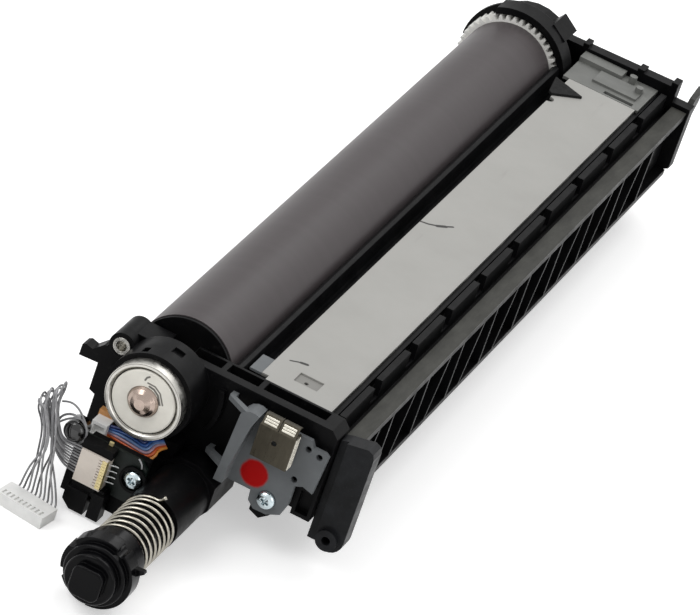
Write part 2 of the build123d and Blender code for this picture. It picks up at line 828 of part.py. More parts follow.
def blade_holder():
    z0 = case_top_z + blade_lift + blade_thickness
    x0 = left_x + 1.6
    y0 = front_rear_y + 4
    y1 = drum_rear_y - 2
    tip_x = -drum_radius - 0.6
    lip = block(x0, x0 + holder_thickness, y0, y1, case_top_z, z0)
    return block(x0, tip_x, y0, y1, z0, z0 + holder_thickness) + lip


def charge_roller():
    return rod(charge_x, charge_z, charge_radius, front_rear_y + 6, drum_rear_y - 6) - rod(
        charge_x, charge_z, charge_shaft_radius, front_rear_y, drum_rear_y
    )


def charge_shaft():
    return rod(charge_x, charge_z, charge_shaft_radius, shaft_front_y, rear_face_y + 3.0)


def waste_auger():
    y0 = front_rear_y + 3.6
    y1 = drum_rear_y - 2.0
    blades = rod(waste_x, waste_z, auger_shaft_radius, shaft_front_y, rear_face_y + 3.0)
    blade_y = y0 + auger_pitch / 2
    while blade_y + auger_pitch / 2 < y1:
        disc = rod(0, 0, waste_radius * 1.6, -auger_blade / 2, auger_blade / 2)
        blades += Pos(waste_x, blade_y, waste_z) * Rot(auger_tilt, 0, 0) * disc & rod(
            waste_x, waste_z, waste_radius, y0, y1
        )
        blade_y += auger_pitch
    return blades


def waste_gear():
    y1 = drum_rear_y + drum_gear_width
    body = gear(waste_gear_teeth, waste_x, waste_z, drum_rear_y, y1, waste_phase)
    return bored(body, waste_x, waste_z, drum_rear_y, y1)


# Toner inlet

def inlet_housing():
    """Housing on the front frame, with the inlet sleeve and the base for the board."""
    y1 = front_face_y
    outline = [
        (-22.0, floor_z), (-22.0, -32.0), (-17.8, -25.2), (12.0, -25.2), (18.0, -20.5), (26.0, -20.5),
        (34.8, -26.0), (34.8, -36.5), (30.5, -43.0), (12.0, floor_z),
    ]
    body = prism(outline, 10.0, y1)
    body += block(-18.0, 8.5, board_y + board_thickness, 10.0, -46.0, -25.2)
    body += block(-12.5, 12.0, board_y + board_thickness, board_y + board_thickness + 3.0, -30.0, -18.4)
    # block that the ribbon of wires enters
    body += block(8.4, 14.4, ribbon_block_y, y1, -25.2, -18.0)
    body += rod(collect_x, collect_z, inlet_radius, inlet_front_y, y1)
    body -= rod(collect_x, collect_z, inlet_bore_radius, inlet_front_y - 1, y1 + 1)
    screw_end_y = board_y + screw_length + 0.5
    return body - rod(board_screw_x, board_screw_z, screw_shank_radius, board_y, screw_end_y)


def inlet_pipe():
    """Pipe that carries the toner, with the shoulder that seats it in the sleeve."""
    front_y = cap_front_y + cap_wall + shutter_travel + 0.5
    pipe = ring(collect_x, collect_z, pipe_radius, pipe_bore_radius, front_y, trough_front_y)
    pipe += ring(collect_x, collect_z, inlet_bore_radius, pipe_bore_radius, inlet_front_y, trough_front_y)
    low_z = collect_z - pipe_radius - 1
    port = block(collect_x - 4, collect_x + 4, front_y + 4, front_y + 14, low_z, collect_z)
    return pipe - port


def shutter_cap():
    x, z = collect_x, collect_z
    flange_y1 = cap_front_y + cap_flange
    body = rod(x, z, cap_radius, cap_front_y, flange_y1)
    body += rod(x, z, cap_sleeve_radius, flange_y1, cap_sleeve_rear_y)
    rim_y = cap_front_y - rim_length
    knob_y = rim_y - knob_length
    body += soft_rod(x, z, rim_radius, rim_y, cap_front_y, 0.9)
    body += soft_rod(x, z, knob_radius, knob_y, rim_y, 1.2)
    button = Box(button_width, 2 * button_length, button_height)
    button = fillet(button.edges().filter_by(Axis.Y), 3.4)
    button = fillet(button.faces().sort_by(Axis.Y)[0].edges(), 0.8)
    body += Pos(x, knob_y, z) * button
    body -= rod(x, z, pipe_radius + seat_gap, cap_front_y + cap_wall, cap_sleeve_rear_y + 1)
    # finger notches round the rim, and the pointed ear
    for angle in (62, 150, 205, 238, 262):
        a = radians(angle)
        body -= rod(x + cap_radius * cos(a), z + cap_radius * sin(a), 1.8, cap_front_y - 1, flange_y1 + 1)
    root = cap_radius - 2.0
    tip = cap_radius + 3.4
    ear = prism([(root, -2.2), (tip, -0.6), (tip, 0.4), (root, 2.2)], -1.2, 1.2)
    return body + Pos(x, flange_y1 - 2.4, z) * Rot(0, -24, 0) * ear


def shutter_spring():
    """Compression spring between the sleeve and the cap."""
    y0 = cap_sleeve_rear_y + spring_wire_radius + 0.1
    y1 = inlet_front_y - spring_wire_radius - 0.1
    height = y1 - y0
    path = Helix(pitch=height / spring_turns, height=height, radius=spring_radius)
    wire_face = Plane(origin=path @ 0, z_dir=path % 0) * Circle(spring_wire_radius)
    coil = sweep(wire_face, path=path, is_frenet=True)
    return Pos(collect_x, y0, collect_z) * Rot(-90, 0, 0) * coil


# Board and connectors

board_screw_x = 8.5
board_screw_z = -27.2


def circuit_board():
    outline = [
        (-14.0, -38.0), (-14.0, -18.4), (9.4, -18.4), (12.4, -21.4), (12.4, -27.6), (10.4, -31.6), (10.2, -38.0),
    ]
    body = prism(outline, board_y, board_y + board_thickness)
    return body - rod(board_screw_x, board_screw_z, screw_shank_radius, board_y - 1, board_y + 3)


def connector_holder():
    """Black holder round the header, with two block feet."""
    x0 = header_left_x
    x1 = header_right_x
    y0 = board_y - 5.0
    hood_top_z = header_top_z + 3.4
    body = block(x0 - 0.6, x1 + 0.8, y0, board_y, header_top_z, hood_top_z)
    body += block(x0, x1 + 2.2, y0, board_y, header_bottom_z - 4.0, header_bottom_z)
    left_low = [(x0, -30.5), (x0 - 2.6, -32.5), (x0 - 2.6, -37.5), (x0, -39.0)]
    body += prism(left_low, board_y - 2.0, board_y)
    body += block(x0 - 1.4, x0 + 8.0, y0 - 1.0, board_y, floor_z + 1.2, -38.6)
    body += block(x0 + 9.4, x1 + 3.0, y0 - 1.0, board_y, floor_z + 1.2, -36.8)
    bevel = [(x0 - 1.5, floor_z), (x0 - 1.5, floor_z + 4.4), (x0 + 3.6, floor_z)]
    return body - prism(bevel, y0 - 2.0, board_y + 3)


def board_header():
    """Ten-way header, its wire side to the left and its pins at the right."""
    y0 = board_y - header_depth
    body = block(header_left_x, header_right_x, y0, board_y, header_bottom_z, header_top_z)
    for z in way_heights():
        body -= block(header_right_x - 3.4, header_right_x - 2.2, y0 - 0.5, y0 + 0.6, z - 0.2, z + 0.2)
    return body


def header_middle_z():
    return (header_top_z + header_bottom_z) / 2


def way_heights():
    """Height of each way of the header."""
    return [header_middle_z() + wire_pitch * (i - (wire_count - 1) / 2) for i in range(wire_count)]


def header_pins():
    """Bent pins: over the header's front edge, down its side and onto the board."""
    y0 = board_y - header_depth
    x = header_right_x
    pins = []
    for z in way_heights():
        pin = block(x - 2.3, x + 0.4, y0 - 0.4, y0, z - 0.5, z + 0.5)
        pin += block(x, x + 0.4, y0, board_y - 0.5, z - 0.3, z + 0.3)
        pin += block(x, x + 3.0, board_y - 0.5, board_y, z - 0.3, z + 0.3)
        pins.append(pin)
    return Compound(children=pins)


def sensor_header():
    body = block(-17.0, -10.6, 3.0, 9.0, -25.2, -18.6)
    return body - block(-16.0, -11.6, 2.0, 4.2, -23.8, -20.0)


def sensor_wafer():
    """Tan wafer at the back of the sensor header, where its wires go in."""
    return block(-17.4, -11.2, 9.0, 12.0, -25.2, -16.6)


def harness_plug():
    """Ten-way plug at the end of the wires, lying flat."""
    body = Box(plug_width, plug_depth, plug_height)
    for index in range(wire_count):
        x = (index - (wire_count - 1) / 2) * plug_wire_pitch
        body -= Pos(x, -plug_depth / 2 + 2.5, plug_height / 2) * Box(0.9, 3.0, 1.4)
    return plug_place * body


# Wires

plug_place = Pos(plug_x, plug_y, floor_z + plug_height / 2) * Rot(0, 0, plug_turn)
plug_entry = (plug_place * Pos(0, plug_depth / 2, 0)).position
plug_lead = (plug_place * Pos(0, plug_depth / 2 + 3.3, 0)).position
plug_spread = 4.5 * plug_wire_pitch
plug_along = Vector(cos(radians(plug_turn)), sin(radians(plug_turn)), 0) * plug_spread

# Middle of the ten wires, and the way from the middle to the last wire
harness_route = [
    ((header_left_x, -11.0, header_middle_z()), (0, 0, 4.5 * wire_pitch)),
    ((-16.6, -11.0, header_middle_z()), (0, 0, 4.5 * wire_pitch)),
    ((-20.8, -11.4, -25.6), (1.4, -0.3, 5.0)),
    ((-24.0, -11.9, -20.2), (3.2, -0.3, 4.2)),
    ((-26.4, -12.2, -14.6), (4.2, -0.1, 4.0)),
    ((-28.2, -12.3, -9.8), (4.3, 0, 4.8)),
    ((-29.2, -12.4, -5.9), (4.3, 0, 5.2)),
    ((-29.7, -14.0, -4.2), (4.3, 0, 5.4)),
    ((-30.0, -16.4, -4.2), (4.3, 0, 5.4)),
    ((-30.1, -18.0, -5.9), (4.3, 0, 5.2)),
    ((-29.8, -18.1, -9.6), (4.3, 0, 4.6)),
    ((-28.6, -18.0, -14.8), (4.3, 0, 3.4)),
    ((-26.6, -17.7, -21.6), (4.3, 0, 1.8)),
    ((-24.6, -17.2, -28.8), (4.6, 0, 0.6)),
    ((-23.2, -16.8, -35.8), (6.0, -0.4, 0)),
    ((-22.0, -17.1, -42.4), (7.6, -0.8, 0)),
    (tuple(plug_lead), tuple(plug_along)),
    (tuple(plug_entry), tuple(plug_along)),
]

# Middle of the six ribbon wires behind the bearing, and the way to the last wire
ribbon_route = [
    ((-10.6, 6.0, -21.7), (0, 0, 2.5)),
    ((-6.4, 6.0, -21.7), (0, 0, 2.5)),
    ((-1.0, 5.8, -21.2), (0.2, 0, 2.5)),
    ((4.6, 5.8, -21.4), (-0.3, 0, 2.5)),
    ((9.6, 6.6, -20.9), (-1.6, 0.5, 2.0)),
    ((11.4, 9.2, -20.9), (-1.8, 0, 1.8)),
    ((11.4, ribbon_block_y, -20.9), (-1.8, 0, 1.8)),
]


def corner_radii(route):
    """Largest tangent arc at each corner of a route."""
    radii = []
    for before, here, after in zip(route, route[1:], route[2:]):
        run_in = Vector(*here) - Vector(*before)
        run_out = Vector(*after) - Vector(*here)
        turn = radians(run_in.get_angle(run_out))
        radii.append(0.45 * min(run_in.length, run_out.length) / tan(turn / 2))
    return radii


def tube(route, radius):
    """A round wire along a route, with a tangent arc at each corner."""
    radii = corner_radii(route)
    path = FilletPolyline(*route, radius=radii)
    face = Plane(origin=path @ 0, z_dir=path % 0) * Circle(radius)
    wire = sweep(face, path=path)
    ideal = pi * radius**2 * path.length
    fill = wire.volume / ideal
    print("length", round(path.length, 1), "least radius", round(min(radii), 1), "volume", round(fill, 3))
    return wire


def wire_fan(stations, count, radius):
    """Wires side by side, each at its own share of the spread at every station."""
    wires = []
    for index in range(count):
        share = 2 * index / (count - 1) - 1
        route = [tuple(c + share * d for c, d in zip(centre, spread)) for centre, spread in stations]
        wires.append(tube(route, radius))
    return Compound(children=wires)


def harness_wires():
    return wire_fan(harness_route, wire_count, wire_radius)


def ribbon():
    return wire_fan(ribbon_route, ribbon_wires, ribbon_wire_radius)


def wire_clip():
    """Round black clip on the holder's left, where the wires are tied."""
    body = rod(clip_x, clip_z, clip_radius, board_y - 2.4, board_y + 4.0)
    return body + block(clip_x, -14.0, board_y, board_y + board_thickness, clip_z - 2.0, clip_z + 2.0)


def wire_tie():
    """Grey ring of wire round the clip."""
    loop = Torus(clip_radius + tie_slack, tie_radius)
    x = clip_x - tie_slack + tie_radius + 0.1
    return Pos(x, board_y - 1.6, clip_z) * Rot(90, 0, 0) * loop


# Bracket, terminal box, arm and fasteners

def contact_bracket():
    y0 = bracket_y
    y1 = front_face_y
    plate = [
        (34.0, 6.6), (61.8, 7.0), (63.4, 4.4), (68.4, 4.4), (right_x, 3.2),
        (68.6, -14.0), (64.4, -12.8), (61.2, -14.2), (61.4, -22.6), (59.6, -28.4),
        (54.4, -31.0), (49.0, -31.2), (46.0, -28.6), (45.6, -24.2), (33.4, -24.2),
    ]
    body = prism(plate, y0, y0 + bracket_thickness)
    # leaning flange with a curved top
    crown = arc_points(5.4, 150, 60, 5, 38.6, 4.6)
    flange = [(32.0, -23.6), (32.6, -15.6)] + crown + [(39.4, 4.0), (36.2, -15.6), (35.8, -23.6)]
    body += prism(flange, flange_front_y, y0 + bracket_thickness)
    # upper and lower arms that run back to the frame at the left
    upper = [(26.2, 18.0), (27.0, 19.8), (37.0, 14.4), (35.2, 12.4)]
    body += slab(upper, 7.0, 9.0) + block(26.0, 28.4, 18.6, y1, 7.0, 9.0)
    lower = [(24.0, 18.4), (24.8, 20.2), (34.4, 15.2), (32.8, 12.6)]
    body += slab(lower, -18.4, -16.0) + block(24.2, 26.4, 19.0, y1, -18.4, -16.0)
    # stand-offs that seat the bracket on the front frame
    sx, sz = bracket_screw_place()
    back_y = y0 + bracket_thickness
    body += rod(sx, sz, 3.4, back_y, y1)
    body += block(63.0, 67.0, back_y, y1, -8.0, -4.0)
    body += block(34.0, 37.0, back_y, y1, -16.0, 2.0)
    for x, z in bracket_holes:
        body -= rod(x, z, 1.3, y0 - 1, y0 + bracket_thickness + 1)
    return body - rod(sx, sz, screw_shank_radius, y0 - 1, y1 + 1)


def terminal_box():
    """Folded sheet-metal contact with two springs leaning back from its top."""
    x0, x1 = 42.3, 57.4
    z0, z1 = -6.8, 7.4
    y0, y1 = flange_front_y, bracket_y
    t = sheet_thickness
    body = block(x0, x1, y0, y0 + t, z0, z1)
    body += block(x1 - t, x1, y0, y1, z0, z1)
    body += block(x0, x0 + t, y0, y1, z0, z1)
    leaf = [
        (y0, z1),
        (y0 + 2.6, z1 + 4.0),
        (y0 + 5.2, z1 + 3.6),
        (y0 + 5.2, z1 + 3.0),
        (y0 + 2.9, z1 + 3.2),
        (y0 + t, z1),
    ]
    for xa in (x0 + 0.3, x1 - 7.4):
        body += side_prism(leaf, xa, xa + 7.1) + block(xa, xa + 7.1, y0, y0 + t, z1 - 1.0, z1)
    return body - rod(49.8, 2.0, 1.1, y0 - 1, y0 + 2)


def guide_arm():
    """Upright arm at the front right corner, with a set-back flange on its left."""
    x0 = arm_left_x
    x1 = arm_left_x + arm_width
    y0, y1 = arm_front_y, arm_rear_y
    xm = x0 + 3.2
    end = arc_points(arm_boss_radius, 0, -150, 9, arm_boss_x, arm_boss_z)
    top = [(xm, arm_top_z), (x1 - 3.0, arm_top_z + 1.6), (x1 - 0.8, arm_top_z + 0.6), (x1, arm_top_z - 1.6)]
    body = prism(top + end + [(xm, arm_boss_z - 1.0)], y0, y1)
    body += prism([(x0, arm_top_z - 1.0), (xm, arm_top_z), (xm, -36.4), (x0, -36.4)], y0 + 2.2, y1)
    body += rod(arm_boss_x - 0.4, arm_boss_z - 0.6, arm_boss_radius - 1.6, y0 - 2.0, y0)
    return body - rod(arm_boss_x - 0.4, arm_boss_z - 0.6, 1.8, y0 - 3.0, y0 + 4.0)


def fixing_screw(x, z, seat_y):
    head = rod(x, z, screw_head_radius, seat_y - screw_head_height, seat_y)
    cross = block(x - 2.0, x + 2.0, seat_y - screw_head_height - 1, seat_y - 1.0, z - 0.45, z + 0.45)
    cross += block(x - 0.45, x + 0.45, seat_y - screw_head_height - 1, seat_y - 1.0, z - 2.0, z + 2.0)
    return head - cross + rod(x, z, screw_shank_radius, seat_y, seat_y + screw_length)


def fixing_screws():
    x, z = bracket_screw_place()
    board_screw = fixing_screw(board_screw_x, board_screw_z, board_y)
    return Compound(children=[board_screw, fixing_screw(x, z, bracket_y)])


def roller_shaft():
    return straight_shaft(roller_x, roller_z, shaft_front_y, gear_near_y + gear_width)


nodes = {
    "drum_tube": drum_tube,
    "drum_front_flange": drum_front_flange,
    "drum_gear": drum_gear,
    "drum_shaft": drum_shaft,
    "shaft_coupling": shaft_coupling,
    "end_disc": end_disc,
    "bearing_outer_race": bearing_outer_race,
    "bearing_inner_race": bearing_inner_race,
    "bearing_balls": bearing_balls,
    "front_frame": front_frame,
    "guide_bush": guide_bush,
    "rear_frame": rear_frame,
    "rear_bush": rear_bush,
    "developer_case": developer_case,
    "rail_tip": rail_tip,
    "auger_trough": auger_trough,
    "cover_plate": cover_plate,
    "front_seal_tab": front_seal_tab,
    "rear_plate": rear_plate,
    "rear_seal": rear_seal,
    "doctor_blade": doctor_blade,
    "developer_roller": developer_roller,
    "roller_shaft": roller_shaft,
    "roller_gear": roller_gear,
    "supply_auger": supply_auger,
    "supply_gear": supply_gear,
    "collect_auger": collect_auger,
    "collect_gear": collect_gear,
    "mixing_auger": mixing_auger,
    "mixing_gear": mixing_gear,
    "cleaning_case": cleaning_case,
    "cleaning_blade": cleaning_blade,
    "blade_holder": blade_holder,
    "charge_roller": charge_roller,
    "charge_shaft": charge_shaft,
    "waste_auger": waste_auger,
    "waste_gear": waste_gear,
    "inlet_housing": inlet_housing,
    "inlet_pipe": inlet_pipe,
    "shutter_spring": shutter_spring,
    "shutter_cap": shutter_cap,
    "circuit_board": circuit_board,
    "connector_holder": connector_holder,
    "board_header": board_header,
    "header_pins": header_pins,
    "sensor_header": sensor_header,
    "sensor_wafer": sensor_wafer,
    "harness_plug": harness_plug,
    "harness_wires": harness_wires,
    "ribbon": ribbon,
    "wire_clip": wire_clip,
    "wire_tie": wire_tie,
    "contact_bracket": contact_bracket,
    "terminal_box": terminal_box,
    "guide_arm": guide_arm,
    "fixing_screws": fixing_screws,
}

os.makedirs("parts", exist_ok=True)
for name, make in nodes.items():
    export_step(make(), f"parts/{name}.step")
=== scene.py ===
import json
import math

import bmesh
import bpy
from mathutils import Matrix, Vector


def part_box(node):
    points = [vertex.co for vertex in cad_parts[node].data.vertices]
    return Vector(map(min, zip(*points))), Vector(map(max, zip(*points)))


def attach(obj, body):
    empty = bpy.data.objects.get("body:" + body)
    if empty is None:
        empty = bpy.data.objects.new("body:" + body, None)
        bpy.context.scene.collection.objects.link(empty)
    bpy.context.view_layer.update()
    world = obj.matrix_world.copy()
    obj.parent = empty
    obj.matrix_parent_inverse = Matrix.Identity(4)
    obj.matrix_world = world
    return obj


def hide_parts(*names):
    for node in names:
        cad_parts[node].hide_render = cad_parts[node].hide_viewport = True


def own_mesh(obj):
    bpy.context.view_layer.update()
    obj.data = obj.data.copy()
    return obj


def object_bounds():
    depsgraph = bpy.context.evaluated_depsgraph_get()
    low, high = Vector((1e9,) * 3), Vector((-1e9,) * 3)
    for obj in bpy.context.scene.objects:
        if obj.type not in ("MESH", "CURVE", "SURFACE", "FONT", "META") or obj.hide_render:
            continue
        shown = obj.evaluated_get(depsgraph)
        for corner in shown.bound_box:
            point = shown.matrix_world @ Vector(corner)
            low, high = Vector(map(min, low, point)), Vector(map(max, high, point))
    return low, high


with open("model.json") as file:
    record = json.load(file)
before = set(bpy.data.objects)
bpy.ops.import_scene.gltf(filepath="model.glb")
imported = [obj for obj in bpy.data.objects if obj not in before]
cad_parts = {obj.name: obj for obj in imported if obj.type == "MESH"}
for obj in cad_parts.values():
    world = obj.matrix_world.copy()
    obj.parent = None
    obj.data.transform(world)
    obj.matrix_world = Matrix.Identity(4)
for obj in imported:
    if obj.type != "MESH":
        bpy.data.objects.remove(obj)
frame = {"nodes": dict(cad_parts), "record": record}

cad_low, cad_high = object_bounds()
nodes = frame["nodes"]
MM = 0.001


def mm(*values):
    """A point given in millimetres, as metres."""
    return Vector(values) * MM


def add_object(name, data):
    """A new object in the scene."""
    made = bpy.data.objects.new(name, data)
    bpy.context.collection.objects.link(made)
    return made


# Camera at the photograph's angle

camera_place = mm(508.4, -1840.5, 1132.3)
camera_right = Vector((0.876817, 0.380841, 0.293517))
camera_up = Vector((-0.434666, 0.366838, 0.822493))
camera_back = Vector((0.205566, -0.848758, 0.487189))
sensor_width_mm = 36.0
focal_length_mm = 306.56

camera_data = bpy.data.cameras.new("photo_camera")
camera_data.sensor_width = sensor_width_mm
camera_data.lens = focal_length_mm
camera_data.clip_start = 0.1
camera_data.clip_end = 30.0
camera = add_object("photo_camera", camera_data)
camera_turn = Matrix((camera_right, camera_up, camera_back)).transposed().to_4x4()
camera.matrix_world = Matrix.Translation(camera_place) @ camera_turn
bpy.context.scene.camera = camera


# Materials

def linear(r, g, b):
    """An 8-bit colour as the shader's linear values."""
    def one(v):
        v = v / 255
        return v / 12.92 if v <= 0.04045 else ((v + 0.055) / 1.055) ** 2.4
    return (one(r), one(g), one(b), 1.0)


def scaled(color, factor):
    """A linear colour made darker or paler."""
    return tuple(min(1.0, c * factor) for c in color[:3]) + (1.0,)


class Graph:
    """Short calls for a material's nodes."""

    mix_first, mix_second, mix_result = 6, 7, 2      # the Mix node's colour sockets

    def __init__(self, name):
        self.material = bpy.data.materials.new(name)
        self.material.use_nodes = True
        self.tree = self.material.node_tree
        self.shader = self.tree.nodes["Principled BSDF"]
        self.place = self.node("ShaderNodeTexCoord").outputs["Object"]

    def node(self, kind, **settings):
        made = self.tree.nodes.new(kind)
        for key, value in settings.items():
            setattr(made, key, value)
        return made

    def link(self, source, target):
        self.tree.links.new(source, target)

    def feed(self, socket, value):
        """Sets a socket to a number, or links it to an output."""
        if isinstance(value, bpy.types.NodeSocket):
            self.link(value, socket)
        else:
            socket.default_value = value

    def math(self, operation, first, second=0.0):
        made = self.node("ShaderNodeMath", operation=operation)
        self.feed(made.inputs[0], first)
        self.feed(made.inputs[1], second)
        return made.outputs[0]

    def vector(self, operation, first, second=(0, 0, 0), output="Vector"):
        made = self.node("ShaderNodeVectorMath", operation=operation)
        self.feed(made.inputs[0], first)
        if operation == "SCALE":
            self.feed(made.inputs["Scale"], second)
        elif operation != "LENGTH":
            self.feed(made.inputs[1], second)
        return made.outputs[output]

    def coordinate(self, axis):
        """The place's X, Y or Z, in metres."""
        made = self.node("ShaderNodeSeparateXYZ")
        self.link(self.place, made.inputs[0])
        return made.outputs[axis]

    def from_axis(self, x, z):
        """Distance in metres from a line along Y through a point given in millimetres."""
        flat = self.vector("MULTIPLY", self.place, (1, 0, 1))
        offset = self.vector("SUBTRACT", flat, (x * MM, 0, z * MM))
        return self.vector("LENGTH", offset, output="Value")

    def ramp(self, value, low, high, out_low=0.0, out_high=1.0, smooth=False):
        made = self.node("ShaderNodeMapRange", clamp=True)
        if smooth:
            made.interpolation_type = "SMOOTHSTEP"
        self.feed(made.inputs["Value"], value)
        ends = {"From Min": low, "From Max": high, "To Min": out_low, "To Max": out_high}
        for key, number in ends.items():
            made.inputs[key].default_value = number
        return made.outputs["Result"]

    def noise(self, scale, detail=3.0, stretch=(1, 1, 1), roughness=0.55, shift=(0, 0, 0)):
        place = self.place
        if tuple(stretch) != (1, 1, 1) or tuple(shift) != (0, 0, 0):
            mapping = self.node("ShaderNodeMapping")
            self.link(place, mapping.inputs["Vector"])
            mapping.inputs["Scale"].default_value = stretch
            mapping.inputs["Location"].default_value = shift
            place = mapping.outputs["Vector"]
        made = self.node("ShaderNodeTexNoise")
        self.link(place, made.inputs["Vector"])
        made.inputs["Scale"].default_value = scale
        made.inputs["Detail"].default_value = detail
        made.inputs["Roughness"].default_value = roughness
        return made.outputs["Fac"]

    def mix(self, share, first, second):
        made = self.node("ShaderNodeMix", data_type="RGBA")
        self.feed(made.inputs["Factor"], share)
        self.feed(made.inputs[self.mix_first], first)
        self.feed(made.inputs[self.mix_second], second)
        return made.outputs[self.mix_result]

    def highest(self, masks):
        """The greatest of several masks."""
        top = masks[0]
        for mask in masks[1:]:
            top = self.math("MAXIMUM", top, mask)
        return top

    def stroke(self, points, width, soft):
        """1 near a line of points and 0 past its soft edge, all in millimetres."""
        parts = []
        for start, end in zip(points, points[1:]):
            start, end = mm(*start), mm(*end)
            along = end - start
            offset = self.vector("SUBTRACT", self.place, tuple(start))
            share = self.vector("DOT_PRODUCT", offset, tuple(along / along.length_squared), "Value")
            share = self.math("MINIMUM", self.math("MAXIMUM", share, 0.0), 1.0)
            foot = self.vector("SCALE", tuple(along), share)
            gap = self.vector("LENGTH", self.vector("SUBTRACT", offset, foot), output="Value")
            parts.append(self.ramp(gap, width * MM, (width + soft) * MM, 1.0, 0.0))
        return self.highest(parts)


def shade(name, color, rough, metallic=0.0, spread=0.15, patch=60.0, grain=1500.0, bump=0.1,
          depth=0.00005, rough_spread=0.08, specular=0.5, stretch=(1, 1, 1), dust=0.0, edge=0.25,
          finish=None):
    """A surface with patchy colour, uneven gloss, a fine grain and softened edges."""
    g = Graph(name)
    cloud = g.ramp(g.noise(patch, 4.0, stretch), 0.35, 0.65)
    tone = g.mix(cloud, scaled(color, 1 - spread), scaled(color, 1 + spread))
    if dust:
        specks = g.ramp(g.noise(patch * 9, 5.0, roughness=0.7), 0.58, 0.78)
        tone = g.mix(g.math("MULTIPLY", specks, dust), tone, (0.42, 0.41, 0.39, 1.0))
    if finish:
        tone = finish(g, tone)
    g.feed(g.shader.inputs["Base Color"], tone)
    wear = g.noise(patch * 3.1, 4.0, stretch, shift=(0.3, 0.1, 0.7))
    gloss = g.ramp(wear, 0.3, 0.7, rough - rough_spread, rough + rough_spread)
    g.feed(g.shader.inputs["Roughness"], gloss)
    bumps = g.node("ShaderNodeBump")
    bumps.inputs["Strength"].default_value = bump
    bumps.inputs["Distance"].default_value = depth
    g.feed(bumps.inputs["Height"], g.noise(grain, 2.0, stretch))
    if edge:
        rounding = g.node("ShaderNodeBevel", samples=4)
        rounding.inputs["Radius"].default_value = edge * MM
        g.feed(bumps.inputs["Normal"], rounding.outputs["Normal"])
    g.feed(g.shader.inputs["Normal"], bumps.outputs["Normal"])
    g.shader.inputs["Metallic"].default_value = metallic
    g.shader.inputs["Specular IOR Level"].default_value = specular
    return g.material


# Cords: ten loose wires from the header to the plug, and six ribbon wires behind the bearing

def strand(name, points, radius):
    """A round wire on one smooth line. With a bevel of 1 m, a point's radius is the wire's own."""
    data = bpy.data.curves.new(name, "CURVE")
    data.dimensions = "3D"
    data.bevel_depth = 1.0
    data.bevel_resolution = 3
    data.resolution_u = 8
    data.use_fill_caps = True
    line = data.splines.new("NURBS")
    line.points.add(len(points) - 1)
    for slot, point in zip(line.points, points):
        slot.co = (*point, 1.0)
        slot.radius = radius
    line.order_u = 3
    line.use_endpoint_u = True
    return add_object(name, data)


def spline_length(wire):
    """Length of the smooth line, in metres."""
    depth = wire.data.bevel_depth
    wire.data.bevel_depth = 0.0
    bpy.context.view_layer.update()
    evaluated = wire.evaluated_get(bpy.context.evaluated_depsgraph_get())
    line = bpy.data.meshes.new_from_object(evaluated)
    wire.data.bevel_depth = depth
    points = [v.co for v in line.vertices]
    return sum((b - a).length for a, b in zip(points, points[1:]))


def fan(route, count, index):
    """The points of one wire of a fan, in metres."""
    share = 2 * index / (count - 1) - 1
    return [tuple(MM * (c + share * d) for c, d in zip(centre, spread)) for centre, spread in route]


# Each station of a route is its middle, and the way from there to the last wire, in millimetres
header_z = -28.3
plug_half_width = 8.55
plug_turn = math.radians(-8.0)
plug_side = (plug_half_width * math.cos(plug_turn), plug_half_width * math.sin(plug_turn), 0.0)
harness_route = [
    ((-12.5, -11.0, header_z), (0, 0, 5.625)),
    ((-16.6, -11.0, header_z), (0, 0, 5.625)),
    ((-21.5, -11.4, -26.9), (-0.3, 0, 4.0)),
    ((-25.3, -11.9, -21.2), (0.6, 0, 3.2)),
    ((-28.0, -12.2, -15.2), (1.8, 0, 2.8)),
    ((-29.6, -12.3, -10.4), (3.0, 0, 3.4)),
    ((-29.9, -12.4, -6.7), (4.0, 0, 4.6)),
    ((-30.3, -14.0, -4.3), (4.1, 0, 5.2)),
    ((-30.3, -16.4, -3.9), (3.8, 0, 5.0)),
    ((-29.9, -18.0, -5.4), (3.5, 0, 4.8)),
    ((-29.3, -18.1, -8.7), (2.9, 0, 3.4)),
    ((-27.3, -18.0, -13.6), (2.4, 0, 2.0)),
    ((-24.9, -17.7, -19.8), (2.1, 0, 0.9)),
    ((-23.8, -17.2, -27.7), (3.0, 0, 0.5)),
    ((-23.7, -16.8, -35.6), (5.1, 0, 0.2)),
    ((-22.6, -17.1, -42.5), (7.0, 0, -0.2)),
    ((-21.31, -19.03, -46.5), plug_side),
    ((-21.77, -22.30, -46.5), plug_side),
]
ribbon_route = [
    ((-10.6, 6.0, -21.9), (0, 0, 2.4)),
    ((-9.4, 6.0, -21.9), (0, 0, 2.5)),
    ((-5.5, 5.0, -21.1), (0.2, 0, 3.3)),
    ((-0.7, 4.2, -20.9), (-0.3, 0, 3.7)),
    ((3.5, 3.8, -21.2), (-0.7, 0, 3.4)),
    ((6.2, 4.0, -21.4), (-1.6, 0, 3.0)),
    ((7.3, 5.5, -20.1), (-2.5, 0, 2.4)),
    ((7.2, 8.4, -19.3), (-2.2, 0, 1.3)),
    ((9.8, 12.6, -19.8), (-1.2, 0, 1.3)),
]

# What makes the ten wires untidy, in millimetres
wire_count = 10
wire_radius = 0.4
free_stations = range(3, 15)
loop_stations = (7, 8)
loop_lift = (-1.0, 0.9, -0.7, 1.2, 0.3, 0.8, -0.5, 0.7, -0.4, 1.2)
wire_layer = (0.0, 0.9, -0.9)
crossing_stations = (10, 11, 12, 13)
crossed_order = (2, 0, 4, 1, 6, 3, 8, 5, 9, 7)
sway = 0.55
sway_x_step = (2.1, 0.9)      # radians for each wire and for each station
sway_z_step = (1.3, 0.7)
stray_wire = 1
stray_stations = (12, 13)
stray_bulge = -1.6


